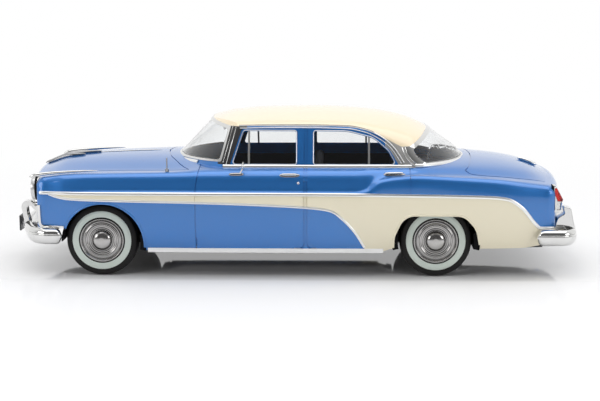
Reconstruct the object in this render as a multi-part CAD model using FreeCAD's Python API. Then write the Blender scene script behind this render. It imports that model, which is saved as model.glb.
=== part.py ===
import FreeCAD, Part

import math
import os

# A 1:18 display model of a four-door 1950s saloon. Its cabin is glazed and sealed, and it
# rolls on four wheels. Millimetres. The nose points to -X, +Y is the car's right, Z is up.
# Shapes are drawn about the middle of the wheelbase. along() stretches them to the chosen
# wheelbase and overhangs, and save() moves them so that the origin is on the ground under
# the middle of the model's length.

V = FreeCAD.Vector

# ---------------------------------------------------------------- driving dimensions
WHEELBASE = 177.8
FRONT_OVERHANG = 40.8
REAR_OVERHANG = 68.5
FRONT_BUMPER_REACH = 12.7
REAR_BUMPER_REACH = 10.1
TRACK = 85.0
TYRE_R = 19.2
TYRE_W = 11.5
RIM_R = 11.0
PIN_R = 1.0
PIN_CLEARANCE = 0.06
SEAT_GAP = 0.05
ARCH_CLEARANCE = 2.2
BODY_WALL = 2.0
CABIN_WALL = 1.6
CABIN_FOOT = 53.5
GROOVE_W = 0.4
GROOVE_DEPTH = 0.5
FLOOR_Z = 15.2
FLOOR_T = 1.6
AXLE_HEADROOM = 5.6
FRAME_Y = 21.0
RAIL_W = 3.2
RAIL_DEPTH = 3.4
ENGINE_Y = 8.5
RAIL_FRONT_X = -118.0
RAIL_REAR_X = 146.0
GEARBOX_END_X = -26.0
VALANCE_Z = 26.2
SCREW_HOLE_R = 1.2
SCREW_Y = 17.0
SCREW_XS = (-45.0, 128.0)

# Lengths that the tables and outlines below are drawn for.
DRAWN_WHEELBASE = 177.8
DRAWN_FRONT_OVERHANG = 40.8
DRAWN_REAR_OVERHANG = 68.5
FRONT_AXLE_X = -DRAWN_WHEELBASE / 2
REAR_AXLE_X = DRAWN_WHEELBASE / 2
NOSE_X = FRONT_AXLE_X - DRAWN_FRONT_OVERHANG
TAIL_X = REAR_AXLE_X + DRAWN_REAR_OVERHANG


def along(x):
    """Where the drawing's x falls for the chosen wheelbase and overhangs."""
    if x < FRONT_AXLE_X:
        return -WHEELBASE / 2 + (x - FRONT_AXLE_X) * FRONT_OVERHANG / DRAWN_FRONT_OVERHANG
    if x > REAR_AXLE_X:
        return WHEELBASE / 2 + (x - REAR_AXLE_X) * REAR_OVERHANG / DRAWN_REAR_OVERHANG
    return x * WHEELBASE / DRAWN_WHEELBASE


def at(x, y, z):
    """Drawn point in the model."""
    return V(along(x), y, z)


FRONT_X = along(NOSE_X) - FRONT_BUMPER_REACH
REAR_X = along(TAIL_X) + REAR_BUMPER_REACH
ORIGIN_X = (FRONT_X + REAR_X) / 2
WHEEL_Y = TRACK / 2
TYRE_INNER_Y = WHEEL_Y - TYRE_W / 2
HUMP_Z = TYRE_R + AXLE_HEADROOM

# Lower body, one row a station along X. Half a section runs from the foot of the side up over
# the shoulder to the middle; its control points (y, z) make a smooth curve. Under the upper
# moulding the side steps in at a ledge, which behind the doors rises into the rear wing's crest.
BODY_STATIONS = [
    # x      foot          low           side          waist         under         ledge
    #        tuck          upper         shoulder      crest         inner         valley
    #        quarter       crown
    (-124.7, (46.0, 20.0), (48.8, 26.0), (50.6, 34.0), (51.0, 41.0), (50.9, 44.4), (50.7, 45.8),
             (50.4, 46.9), (49.9, 49.6), (48.9, 52.2), (46.8, 53.6), (42.5, 53.2), (36.0, 52.8),
             (22.0, 54.0), (9.0, 54.4)),
    (-112.0, (47.6, 17.0), (50.8, 23.0), (52.3, 33.0), (52.8, 41.0), (52.7, 44.4), (52.5, 45.9),
             (51.7, 47.0), (51.0, 50.0), (50.0, 53.2), (47.8, 55.0), (43.8, 54.3), (37.0, 54.2),
             (23.0, 57.3), (10.0, 58.6)),
    (-88.0, (49.0, 13.5), (52.2, 20.0), (53.8, 32.0), (54.3, 41.0), (54.2, 44.4), (53.9, 46.0),
            (52.3, 47.2), (51.7, 50.3), (50.9, 54.0), (48.6, 55.9), (44.5, 55.2), (38.5, 55.4),
            (24.0, 59.2), (10.0, 60.5)),
    (-50.0, (49.6, 13.0), (52.9, 19.0), (54.5, 31.0), (54.9, 41.0), (54.8, 44.4), (54.4, 46.0),
            (52.7, 47.2), (52.1, 50.4), (51.4, 54.2), (49.2, 56.4), (45.6, 56.2), (40.0, 57.0),
            (25.0, 60.6), (10.0, 61.6)),
    (-30.0, (49.8, 13.0), (53.1, 19.0), (54.8, 31.0), (55.1, 41.0), (55.0, 44.4), (54.6, 46.0),
            (52.9, 47.2), (52.3, 50.4), (51.6, 54.3), (49.4, 56.8), (46.2, 57.8), (41.0, 58.4),
            (25.0, 61.0), (10.0, 61.8)),
    (10.0, (49.9, 13.0), (53.2, 19.0), (54.9, 31.0), (55.2, 41.0), (55.1, 44.2), (54.7, 45.9),
           (52.9, 47.1), (52.3, 50.4), (51.6, 54.3), (49.3, 56.9), (46.4, 58.2), (41.0, 59.0),
           (25.0, 61.0), (10.0, 61.6)),
    (46.0, (49.9, 13.0), (53.2, 19.0), (54.9, 31.0), (55.2, 41.0), (55.1, 44.0), (54.7, 45.8),
           (52.9, 47.0), (52.3, 50.3), (51.6, 54.2), (49.3, 56.9), (46.4, 58.2), (41.0, 59.0),
           (25.0, 60.8), (10.0, 61.4)),
    (52.0, (49.9, 13.0), (53.2, 19.0), (54.9, 31.0), (55.2, 41.0), (55.1, 44.4), (54.8, 46.6),
           (53.1, 48.0), (52.2, 51.0), (51.3, 54.4), (49.2, 56.9), (46.4, 58.2), (41.0, 59.0),
           (25.0, 60.8), (10.0, 61.3)),
    (58.0, (49.9, 13.2), (53.2, 19.4), (54.9, 31.0), (55.3, 41.0), (55.2, 47.0), (54.9, 50.4),
           (53.4, 52.2), (51.6, 53.2), (50.2, 54.8), (48.7, 56.7), (46.2, 58.1), (41.0, 59.0),
           (25.0, 60.7), (10.0, 61.2)),
    (66.0, (49.9, 13.4), (53.2, 19.6), (55.0, 31.0), (55.5, 41.0), (55.4, 48.6), (54.9, 52.4),
           (53.2, 54.2), (51.2, 54.2), (49.6, 55.0), (48.2, 56.5), (46.0, 58.0), (41.0, 59.0),
           (25.0, 60.6), (10.0, 61.1)),
    (78.0, (49.7, 13.6), (53.2, 19.8), (55.1, 31.0), (55.6, 41.0), (55.5, 49.2), (54.9, 53.4),
           (53.0, 55.2), (50.8, 54.9), (49.0, 55.2), (47.2, 56.3), (44.6, 57.9), (40.0, 58.8),
           (25.0, 60.2), (10.0, 60.8)),
    (98.0, (49.4, 14.0), (52.9, 20.2), (54.9, 31.0), (55.4, 41.0), (55.2, 48.6), (54.5, 52.6),
           (52.4, 54.4), (49.8, 54.1), (47.2, 54.1), (44.2, 55.1), (40.4, 57.0), (35.0, 58.4),
           (22.0, 59.9), (9.0, 60.4)),
    (120.0, (48.4, 14.6), (51.9, 20.8), (54.0, 31.0), (54.5, 41.0), (54.2, 47.6), (53.4, 51.2),
            (51.2, 53.0), (48.4, 52.9), (45.4, 52.9), (42.0, 53.8), (37.5, 55.6), (31.0, 57.2),
            (19.0, 58.6), (8.0, 59.0)),
    (138.0, (46.8, 16.0), (50.0, 22.0), (52.2, 31.0), (52.8, 41.0), (52.5, 46.0), (51.7, 49.2),
            (49.6, 50.9), (47.0, 51.2), (44.0, 51.3), (40.5, 51.9), (36.0, 53.2), (29.0, 54.8),
            (18.0, 55.8), (7.0, 56.1)),
    (152.4, (44.6, 18.0), (47.4, 24.0), (49.6, 31.0), (50.4, 40.0), (50.2, 44.6), (49.5, 47.4),
            (47.8, 48.9), (45.4, 49.3), (42.5, 49.4), (39.0, 49.5), (34.0, 49.6), (27.0, 49.8),
            (17.0, 50.1), (7.0, 50.2)),
]

# Plan arcs of the two ends: radius, and the side view's roll over the top edge as (in, down).
NOSE_BOW = 172.0
NOSE_ROLL = [(0.0, 49.0), (0.35, 51.0), (1.6, 53.0), (4.6, 55.2), (12.0, 59.0), (60.0, 80.0)]
TAIL_BOW = 190.0
TAIL_ROLL = [(0.0, 42.5), (0.5, 45.5), (2.2, 48.2), (5.4, 50.4), (12.0, 53.4), (60.0, 72.0)]

# Cabin, one row a station along X: side foot, drip line, roof edge and roof top.
CABIN_STATIONS = [
    # x  y_foot y_drip z_drip y_edge z_edge z_top
    (-66, 42.0, 36.5, 76.0, 31.0, 77.6, 78.2),
    (-36, 44.2, 37.0, 77.5, 31.0, 79.2, 80.4),
    (-20, 45.4, 37.6, 78.4, 31.5, 81.3, 84.0),
    (0, 45.8, 38.3, 78.9, 32.0, 82.3, 85.6),
    (25, 46.0, 38.8, 79.0, 32.0, 82.6, 86.0),
    (45, 46.0, 38.9, 78.2, 32.0, 81.8, 85.2),
    (60, 45.8, 39.2, 74.8, 32.5, 79.2, 83.6),
    (74, 45.4, 39.8, 69.0, 33.0, 75.0, 80.6),
    (86, 43.8, 37.5, 64.5, 30.5, 70.0, 75.2),
    (98, 39.5, 33.5, 61.0, 27.0, 64.2, 66.8),
    (112, 34.0, 28.0, 55.5, 22.0, 56.8, 57.4),
]

# Plan of the cabin at two heights: arcs of the windscreen and of the rear window.
CABIN_PLANS = [
    # z  front_apex front_corner rear_corner rear_apex corner_y
    (50.0, -62.0, -26.3, 77.0, 115.5, 46.0),
    (92.0, -21.9, 13.8, 57.4, 75.6, 46.0),
]

# Side views: corners (x, z, corner radius).
ROOF_REGION = [
    (-80, 100, 0), (-80, 90, 0), (-34, 81.2, 0), (-20.4, 79.0, 0), (-15.6, 79.2, 0),
    (40, 79.2, 20), (52, 77.6, 12), (61, 73.6, 8), (70.6, 68.7, 3), (75.4, 68.9, 3),
    (83, 74.0, 10), (89, 77.0, 0), (130, 90, 0), (130, 100, 0),
]
WINDSCREEN_OUT = [(-80, 59.4, 0), (-25.6, 59.4, 1.5), (-19.6, 77.6, 2.0), (-35, 80.4, 0), (-80, 88.6, 0)]
WINDSCREEN_IN = [(-80, 61.0, 0), (-27.6, 61.0, 2.6), (-22.0, 76.2, 2.0), (-35, 78.7, 0), (-80, 87.0, 0)]
REAR_WINDOW_OUT = [
    (77.0, 59.0, 1.0), (75.8, 67.0, 3.0), (84.0, 73.4, 8), (89, 75.8, 0), (130, 90, 0), (130, 59.0, 0),
]
REAR_WINDOW_IN = [
    (79.2, 60.6, 1.6), (77.8, 66.4, 2.5), (84.8, 71.6, 8), (90, 74.2, 0), (130, 88, 0), (130, 60.6, 0),
]
FRONT_DOOR_OUT = [(-20.4, 59.6, 0.8), (-14.0, 77.8, 1.6), (15.6, 77.8, 0.8), (15.6, 59.6, 0.8)]
FRONT_DOOR_IN = [(-18.6, 60.6, 0.6), (-13.0, 76.8, 1.2), (14.8, 76.8, 0.6), (14.8, 60.6, 0.6)]
REAR_DOOR_OUT = [
    (23.6, 59.6, 0.8), (23.6, 77.8, 0.8), (42.0, 77.6, 30), (56.0, 74.2, 14),
    (64.5, 67.0, 10), (69.4, 59.6, 0.8),
]
REAR_DOOR_IN = [
    (24.4, 60.6, 0.6), (24.4, 76.8, 0.6), (42.0, 76.6, 28), (55.6, 73.2, 12),
    (63.4, 66.6, 9), (67.2, 60.6, 0.6),
]
WINDOW_BARS_X = (-10.2, 53.4)
WINDOW_BAR_W = 1.0

# Side mouldings: points (x, z) of the two strips, and their widths.
UPPER_MOULDING = [
    (-121, 45.2), (-60, 45.0), (20, 44.8), (80, 44.4), (118, 43.6), (126, 42.6), (133, 38.4), (142, 28.0),
]
LOWER_MOULDING = [
    (-116, 44.6), (-112, 42.8), (-106, 41.4), (-80, 40.6), (-38, 39.8), (0, 38.5),
    (22, 37.2), (32, 35.8), (38, 31.6), (44, 24.6), (49, 16.6),
]
MOULDING_W = 1.2
SILL_STRIP_Z = 15.6
SILL_STRIP_H = 2.5
BELT_STRIP_Z = 59.5
DRIP_RAIL_W = 0.9
DRIP_LINE = [(-15.0, 79.6), (20, 79.7), (42, 79.3), (52, 77.6), (61, 73.4), (67, 68.0), (72.5, 60.2)]
MOULDING_T = 0.5

# ---------------------------------------------------------------- small geometry helpers


def seg(a, b):
    return Part.LineSegment(a, b).toShape()


def arc(a, b, c):
    return Part.Arc(a, b, c).toShape()


def box(x0, x1, y0, y1, z0, z1):
    return Part.makeBox(along(x1) - along(x0), y1 - y0, z1 - z0, at(x0, y0, z0))


def rod(a, b, r):
    """Cylinder of radius r from a to b."""
    return Part.makeCylinder(r, (b - a).Length, a, b - a)


def ball(centre, r):
    return Part.makeSphere(r, centre)


def mirrored(shape):
    return shape.mirror(V(0, 0, 0), V(0, 1, 0))


def pair(shape):
    return Part.makeCompound([shape, mirrored(shape)])


def fused(shapes):
    whole = shapes[0]
    for shape in shapes[1:]:
        whole = whole.fuse(shape)
    return whole.removeSplitter()


def outline(corners, place):
    """Closed wire of (u, v, radius) corners; place(u, v) gives the 3-D point."""
    edges, starts, ends = [], [], []
    count = len(corners)
    for i, (u, v, r) in enumerate(corners):
        here = V(u, v, 0)
        if r == 0:
            starts.append(here)
            ends.append(here)
            edges.append(None)
            continue
        before = V(corners[i - 1][0], corners[i - 1][1], 0) - here
        after = V(corners[(i + 1) % count][0], corners[(i + 1) % count][1], 0) - here
        before.normalize()
        after.normalize()
        half = before.getAngle(after) / 2
        inward = before + after
        inward.normalize()
        start = here + before * (r / math.tan(half))
        end = here + after * (r / math.tan(half))
        middle = here + inward * (r / math.sin(half) - r)
        starts.append(start)
        ends.append(end)
        edges.append(arc(place(start.x, start.y), place(middle.x, middle.y), place(end.x, end.y)))
    wire = []
    for i in range(count):
        if edges[i] is not None:
            wire.append(edges[i])
        nxt = starts[(i + 1) % count]
        if (nxt - ends[i]).Length > 1e-6:
            wire.append(seg(place(ends[i].x, ends[i].y), place(nxt.x, nxt.y)))
    return Part.Wire(wire)


def stretched(corners):
    """Side- or plan-view corners (x, other, radius) moved to the model's lengths."""
    return [(along(x), other, r) for x, other, r in corners]


def side_prism(corners, y0, y1):
    """Side-view outline (x, z, radius) extruded across the car from y0 to y1."""
    wire = outline(stretched(corners), lambda u, v: V(u, y0, v))
    return Part.Face(wire).extrude(V(0, y1 - y0, 0))


def around(axle_x, corners, y0, y1):
    """Side-view outline of offsets from an axle, which keeps its size, extruded from y0 to y1."""
    wire = outline(corners, lambda u, v: V(along(axle_x) + u, y0, v))
    return Part.Face(wire).extrude(V(0, y1 - y0, 0))


def plan_prism(corners, z0, z1):
    wire = outline(stretched(corners), lambda u, v: V(u, v, z0))
    return Part.Face(wire).extrude(V(0, 0, z1 - z0))


def front_prism(corners, x0, x1):
    """Front-view outline (y, z, radius) extruded along the car from x0 to x1."""
    wire = outline(corners, lambda u, v: at(x0, u, v))
    return Part.Face(wire).extrude(V(along(x1) - along(x0), 0, 0))


def full_width(corners):
    return side_prism(corners, -70, 70)


def spline(points):
    curve = Part.BSplineCurve()
    curve.interpolate(points)
    return curve.toShape()


def ribbon(points, width):
    """Side-view strip of even width along smooth (x, z) points, right across the car."""
    upper, lower = [], []
    line = [V(along(x), -70, z) for x, z in points]
    for i, point in enumerate(line):
        way = line[min(i + 1, len(line) - 1)] - line[max(i - 1, 0)]
        way.normalize()
        across = V(-way.z, 0, way.x) * (width / 2)
        upper.append(point + across)
        lower.append(point - across)
    wire = Part.Wire([
        spline(upper), seg(upper[-1], lower[-1]), spline(lower[::-1]), seg(lower[0], upper[0]),
    ])
    return Part.Face(wire).extrude(V(0, 140, 0))


def plan_ribbon(points, width):
    """Strip of even width along smooth plan (x, y) points, standing above the waist."""
    left, right = [], []
    line = [at(x, y, 44.0) for x, y in points]
    for i, point in enumerate(line):
        way = line[min(i + 1, len(line) - 1)] - line[max(i - 1, 0)]
        way.normalize()
        across = V(-way.y, way.x, 0) * (width / 2)
        left.append(point + across)
        right.append(point - across)
    wire = Part.Wire([
        spline(left), seg(left[-1], right[-1]), spline(right[::-1]), seg(right[0], left[0]),
    ])
    return Part.Face(wire).extrude(V(0, 0, 20.0))


def turned(profile, centre):
    """Revolve (radius, offset along Y) points about the Y axis through centre."""
    points = [centre + V(r, y, 0) for r, y in profile]
    wire = Part.makePolygon(points + [points[0]])
    return Part.Face(wire).revolve(centre, V(0, 1, 0), 360)


def save(name, shape):
    placed = shape.copy()
    placed.translate(V(-ORIGIN_X, 0, 0))
    placed.exportStep("parts/%s.step" % name)
    facts = (name, len(placed.Solids), placed.isValid(), placed.Volume)
    print("%-24s solids %2d  valid %s  volume %9.1f" % facts)


# ---------------------------------------------------------------- body and cabin forms


def bulged(a, b, rise):
    """Arc from a to b in a plane across the car, bulging outwards by rise."""
    middle = (a + b) * 0.5
    chord = b - a
    outward = V(0, chord.z, -chord.y)
    outward.normalize()
    return arc(a, middle + outward * rise, b)


def flipped(p):
    return V(p.x, -p.y, p.z)


def between(stations, values, x):
    """Smooth value at x of a column given at stations, without overshoot between them."""
    if x <= stations[0]:
        return values[0]
    if x >= stations[-1]:
        return values[-1]
    gaps = [b - a for a, b in zip(stations, stations[1:])]
    rises = [(b - a) / gap for a, b, gap in zip(values, values[1:], gaps)]
    slopes = [rises[0]]
    for i in range(1, len(gaps)):
        if rises[i - 1] * rises[i] <= 0:
            slopes.append(0.0)
            continue
        w1, w2 = 2 * gaps[i] + gaps[i - 1], gaps[i] + 2 * gaps[i - 1]
        slopes.append((w1 + w2) / (w1 / rises[i - 1] + w2 / rises[i]))
    slopes.append(rises[-1])
    i = max(k for k in range(len(gaps)) if stations[k] <= x)
    t = (x - stations[i]) / gaps[i]
    return (
        values[i] * (1 + 2 * t) * (1 - t) ** 2 + slopes[i] * gaps[i] * t * (1 - t) ** 2
        + values[i + 1] * t * t * (3 - 2 * t) + slopes[i + 1] * gaps[i] * t * t * (t - 1))


def body_control(x):
    """Control points (y, z) of half a section at station x, foot first."""
    stations = [row[0] for row in BODY_STATIONS]
    points = []
    for k in range(1, len(BODY_STATIONS[0])):
        y, z = [between(stations, [row[k][axis] for row in BODY_STATIONS], x) for axis in (0, 1)]
        points.append((y, z))
    return points


def grown(points, amount):
    """Control points moved outwards, square to their line."""
    moved = []
    last = len(points) - 1
    for i, (y, z) in enumerate(points):
        before, after = points[max(i - 1, 0)], points[min(i + 1, last)]
        out = V(0, after[1] - before[1], before[0] - after[0])
        if i == 0:
            out = V(0, 1, 0)
        if i == last:
            out = V(0, 0, 1)
        out.normalize()
        moved.append((y + out.y * amount, z + out.z * amount))
    return moved


def smooth_curve(points):
    """Cubic curve through the first and last of its control points."""
    spans = len(points) - 3
    knots = [k / spans for k in range(spans + 1)]
    curve = Part.BSplineCurve()
    curve.buildFromPolesMultsKnots(points, [4] + [1] * (spans - 1) + [4], knots, False, 3)
    return curve.toShape()


def body_section(x, grow, drop):
    points = grown(body_control(x), grow)
    (foot_y, foot_z), (low_y, low_z) = points[0], points[1]
    lean = (low_y - foot_y) / (low_z - foot_z)
    points[0] = (foot_y - lean * drop, foot_z - drop)
    right = [at(x, y, z) for y, z in points] + [at(x, 0, points[-1][1])]
    left = [flipped(p) for p in reversed(right)]
    return Part.Wire([seg(left[-1], right[0]), smooth_curve(right), smooth_curve(left)])


def end_barrel(end_x, bow, roll, grow):
    """Upright barrel whose bulge is one end of the body: an arc in plan, rolled over on top."""
    way = 1.0 if end_x < 0 else -1.0
    axis_x = along(end_x) + way * bow
    edge = [(bow + grow, -5.0)] + [(bow + grow - inward, z + grow) for inward, z in roll]
    side = [V(axis_x - way * r, 0, z) for r, z in edge]
    top, bottom = V(axis_x, 0, side[-1].z), V(axis_x, 0, side[0].z)
    wire = Part.Wire([
        seg(side[0], side[1]), spline(side[1:]), seg(side[-1], top), seg(top, bottom), seg(bottom, side[0]),
    ])
    return Part.Face(wire).revolve(top, V(0, 0, 1), 360)


SECTION_GAP = 7.0


def body_form(grow=0.0, drop=0.0):
    """Outer form of the lower body, grown outwards by grow and with its foot dropped."""
    first, last = NOSE_X - 4.0, TAIL_X + 4.0
    count = int((last - first) / SECTION_GAP)
    xs = [first + (last - first) * k / count for k in range(count + 1)]
    form = Part.makeLoft([body_section(x, grow, drop) for x in xs], True, False)
    for end_x, bow, roll in ((NOSE_X, NOSE_BOW, NOSE_ROLL), (TAIL_X, TAIL_BOW, TAIL_ROLL)):
        form = form.common(end_barrel(end_x, bow, roll, grow))
    return form


def cabin_section(row, grow):
    x, y_foot, y_drip, z_drip, y_edge, z_edge, z_top = row
    foot = at(x, y_foot + grow, CABIN_FOOT)
    drip = at(x, y_drip + grow, z_drip + grow * 0.3)
    edge = at(x, y_edge + grow * 0.5, z_edge + grow)
    top = at(x, 0, z_top + grow)
    return Part.Wire([
        seg(flipped(foot), foot),
        bulged(foot, drip, 0.5),
        bulged(drip, edge, 0.7),
        arc(edge, top, flipped(edge)),
        bulged(flipped(edge), flipped(drip), 0.7),
        bulged(flipped(drip), flipped(foot), 0.5),
    ])


def cabin_plan(row, grow):
    z, front_apex, front_corner, rear_corner, rear_apex, corner_y = row
    fa, fc = along(front_apex) - grow, along(front_corner) - grow
    rc, ra = along(rear_corner) + grow, along(rear_apex) + grow
    cy, wide = corner_y, corner_y + 8
    return Part.Wire([
        arc(V(fc, -cy, z), V(fa, 0, z), V(fc, cy, z)),
        seg(V(fc, cy, z), V(fc + 8, wide, z)),
        seg(V(fc + 8, wide, z), V(rc - 8, wide, z)),
        seg(V(rc - 8, wide, z), V(rc, cy, z)),
        arc(V(rc, cy, z), V(ra, 0, z), V(rc, -cy, z)),
        seg(V(rc, -cy, z), V(rc - 8, -wide, z)),
        seg(V(rc - 8, -wide, z), V(fc + 8, -wide, z)),
        seg(V(fc + 8, -wide, z), V(fc, -cy, z)),
    ])


def cabin_form(grow=0.0):
    """Outer form of the cabin from its foot to the roof, grown outwards by grow."""
    loft = Part.makeLoft([cabin_section(row, grow) for row in CABIN_STATIONS], True, False)
    plans = Part.makeLoft([cabin_plan(row, grow) for row in CABIN_PLANS], True, True)
    return loft.common(plans)


def cabin_skin(outer, inner):
    return cabin_form(outer).cut(cabin_form(inner))


REAR_ARCH = [
    # dx from the axle, height above the axle, corner radius
    (-22.4, -30, 0), (-22.4, 0.8, 14), (-15.4, 13.6, 9), (12.6, 13.2, 12), (21.6, 2.8, 14), (22.6, -30, 0),
]
REAR_ARCH_REACH = 22.4
ARCH_INNER_Y = TYRE_INNER_Y - 0.75


def wheel_arches():
    """Side-view cutters of the front and rear wheel openings, on both sides."""
    centre = V(along(FRONT_AXLE_X) + 1.4, ARCH_INNER_Y, TYRE_R - 1.0)
    reach = TYRE_R + ARCH_CLEARANCE
    front = Part.makeCylinder(reach, 70 - ARCH_INNER_Y, centre, V(0, 1, 0))
    below = Part.makeBox(2 * reach, 70 - ARCH_INNER_Y, centre.z, V(centre.x - reach, ARCH_INNER_Y, 0))
    front = front.fuse(below)
    share = (TYRE_R + 3.2) / REAR_ARCH_REACH
    corners = [(dx * share, TYRE_R + dz, r) for dx, dz, r in REAR_ARCH]
    rear = around(REAR_AXLE_X, corners, ARCH_INNER_Y, 70)
    below_nose = box(-150, -107.6, -70, 70, 0, VALANCE_Z)
    return [front, mirrored(front), rear, mirrored(rear), below_nose]


# ---------------------------------------------------------------- body, roof and glazing

# Shut lines in side view, (x, z) down the doors, and in plan, (x, y) round the two lids.
DOOR_LINES = [
    [(-36.3, 60.5), (-36.6, 56.0), (-37.6, 51.0), (-38.0, 47.0), (-38.0, 30.0), (-38.0, 10.0)],
    [(19.2, 62.0), (19.2, 40.0), (19.2, 19.5), (18.6, 17.0), (16.8, 15.8), (14.0, 15.4)],
    [(20.7, 62.0), (20.7, 40.0), (20.7, 19.5), (21.3, 17.0), (23.1, 15.8), (26.0, 15.4)],
    [(75.0, 60.5), (75.0, 50.0), (75.0, 44.0)],
]
LID_LINES = [
    [(-119.5, 31.0), (-112.0, 36.5), (-100.0, 39.0), (-80.0, 40.2), (-62.0, 41.6), (-53.0, 42.4)],
    [(-53.0, 42.6), (-55.0, 36.0), (-59.0, 24.0), (-61.5, 12.0), (-62.3, 0.0)],
    [(101.5, 39.5), (108.0, 33.0), (113.0, 20.0), (115.2, 8.0), (115.6, 0.0)],
    [(101.5, 39.7), (106.0, 42.8), (114.0, 43.4), (130.0, 42.4), (146.0, 38.4)],
]


def shut_lines():
    """Cutters of the doors', bonnet's and boot lid's shut lines."""
    lines = [ribbon(points, GROOVE_W) for points in DOOR_LINES]
    for points in LID_LINES:
        lines.append(plan_ribbon(points, GROOVE_W))
        lines.append(plan_ribbon([(x, -y) for x, y in points], GROOVE_W))
    return lines


def make_body_and_roof():
    hollow = body_form(-BODY_WALL, 14.0)
    cabin_inner = cabin_form(-CABIN_WALL)
    shell = cabin_form(0.0).cut(cabin_inner)
    above = full_width(ROOF_REGION)
    for opening in (WINDSCREEN_OUT, REAR_WINDOW_OUT, FRONT_DOOR_OUT, REAR_DOOR_OUT):
        shell = shell.cut(full_width(opening))
    roof = shell.common(above)
    pillars = shell.cut(above)
    lower = body_form(0.0).cut(hollow)
    for cutter in wheel_arches():
        lower = lower.cut(cutter)
    mouth = front_prism(nose_mouth(0.0), -140, GRILLE_BACK_X)
    for y in (-HEADLAMP_Y, HEADLAMP_Y):
        lower = lower.cut(rod(at(-140, y, HEADLAMP_Z), at(-110, y, HEADLAMP_Z), HEADLAMP_R))
    lower = lower.cut(mouth).cut(cabin_inner)
    under_skin = body_form(-GROOVE_DEPTH)
    for line in shut_lines():
        lower = lower.cut(line.cut(under_skin).cut(cabin_form(1.0)))
    body = lower.fuse(pillars)
    save("body", body)
    save("roof", roof)


def make_glazing(body_skin):
    rim_skin = cabin_skin(0.45, -CABIN_WALL)
    pane_skin = cabin_skin(-0.3, -1.1)
    for name, outer, inner in (
        ("windscreen", WINDSCREEN_OUT, WINDSCREEN_IN),
        ("rear_window", REAR_WINDOW_OUT, REAR_WINDOW_IN),
    ):
        rim = rim_skin.common(full_width(outer).cut(full_width(inner))).cut(body_skin)
        save(name + "_frame", largest(rim))
        save(name, largest(pane_skin.common(full_width(inner)).cut(body_skin)))
    frames = full_width(FRONT_DOOR_OUT).cut(full_width(FRONT_DOOR_IN))
    frames = frames.fuse(full_width(REAR_DOOR_OUT).cut(full_width(REAR_DOOR_IN)))
    panes = full_width(FRONT_DOOR_IN).fuse(full_width(REAR_DOOR_IN))
    for x in WINDOW_BARS_X:
        bar = box(x - WINDOW_BAR_W / 2, x + WINDOW_BAR_W / 2, -70, 70, 50, 90)
        frames = frames.fuse(bar.common(panes))
        panes = panes.cut(bar)
    save("door_window_frames", cabin_skin(0.3, -1.1).common(frames))
    save("door_windows", cabin_skin(-0.2, -0.8).common(panes))


def make_side_trim(body_skin):
    raised = body_form(MOULDING_T)
    strips = []
    for line in (UPPER_MOULDING, LOWER_MOULDING):
        strip = ribbon(line, MOULDING_W)
        for half in (Part.makeBox(600, 70, 100, V(-300, -70, 0)), Part.makeBox(600, 70, 100, V(-300, 0, 0))):
            strips.append(strip.common(half).common(raised).cut(body_skin))
    left, right = strips[0].fuse(strips[2]), strips[1].fuse(strips[3])
    save("side_mouldings", Part.makeCompound([largest(left), largest(right)]))
    sill = box(-61, 62, 30, 70, SILL_STRIP_Z - SILL_STRIP_H, SILL_STRIP_Z).common(raised).cut(body_skin)
    save("sill_mouldings", pair(largest(sill)))
    cabin_raised = cabin_form(0.7).cut(cabin_form(SEAT_GAP))
    drip = ribbon(DRIP_LINE, DRIP_RAIL_W)
    drips = cabin_raised.common(drip).cut(full_width(REAR_WINDOW_OUT))
    belt = cabin_raised.common(box(-23.5, 73.0, -70, 70, 56, BELT_STRIP_Z)).cut(body_skin)
    save("drip_rails", drips)
    save("belt_mouldings", belt)


# ---------------------------------------------------------------- nose and tail

HEADLAMP_Y = 41.0
HEADLAMP_Z = 46.4
HEADLAMP_R = 6.2
BEZEL_FRONT_X = -126.6
BEZEL_T = 0.9
BEZEL_L = 6.6
LENS_DOME_R = 11.6
LENS_BULGE = 0.4
NOSE_MOUTH = [
    # y, z, corner radius
    (-48.0, 27.6, 3.0), (48.0, 27.6, 3.0), (48.0, 39.4, 1.5), (33.0, 39.4, 3.0), (28.5, 44.6, 4.0),
    (-28.5, 44.6, 4.0), (-33.0, 39.4, 3.0), (-48.0, 39.4, 1.5),
]
GRILLE_BACK_X = -119.5
PARKING_Y0 = 39.0
PARKING_Y1 = 45.6
PARKING_Z0 = 29.8
PARKING_REACH = 0.3
GRILLE_SURROUND_W = 1.4
GRILLE_TEETH = 9
TOOTH_PITCH = 6.6
TOOTH_HALF_W = 1.7
TOOTH_SIDE = [
    # x behind the grille's face, z, corner radius
    (9.6, 29.4, 0), (3.4, 29.4, 1.4), (0.0, 33.4, 3.0), (0.0, 38.4, 3.0), (3.0, 42.9, 1.4), (9.6, 42.9, 0),
]
TOOTH_REACH = 1.4
TOOTH_EDGE_R = 1.6
GRILLE_Z0 = 20.0
GRILLE_Z1 = 50.0
BAR_Y = 47.0
BAR_REACH = 0.2
BAR_HALF_H = 1.3
BAR_T = 2.6
BAR_Z = 34.4
CORNER_STRIP = [
    # x, z, corner radius: outside, then inside
    (-122.4, 38.5, 0), (-122.4, 26.3, 2.4), (-108.5, 26.3, 0), (-108.5, 27.3, 0), (-121.1, 27.3, 1.4),
    (-121.1, 38.5, 0),
]


def nose_mouth(inset):
    """The nose's opening, drawn in by inset all round."""
    low, high = min(z for y, z, r in NOSE_MOUTH), max(z for y, z, r in NOSE_MOUTH)
    half_y, half_z = max(y for y, z, r in NOSE_MOUTH), (high - low) / 2
    middle_z = (low + high) / 2
    share_y, share_z = 1 - inset / half_y, 1 - inset / half_z
    return [(y * share_y, middle_z + (z - middle_z) * share_z, r) for y, z, r in NOSE_MOUTH]


def nose_face_x(y):
    """Where the nose's plan arc lies at y, in the drawing."""
    return NOSE_X + y * y / (2 * NOSE_BOW)


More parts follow.
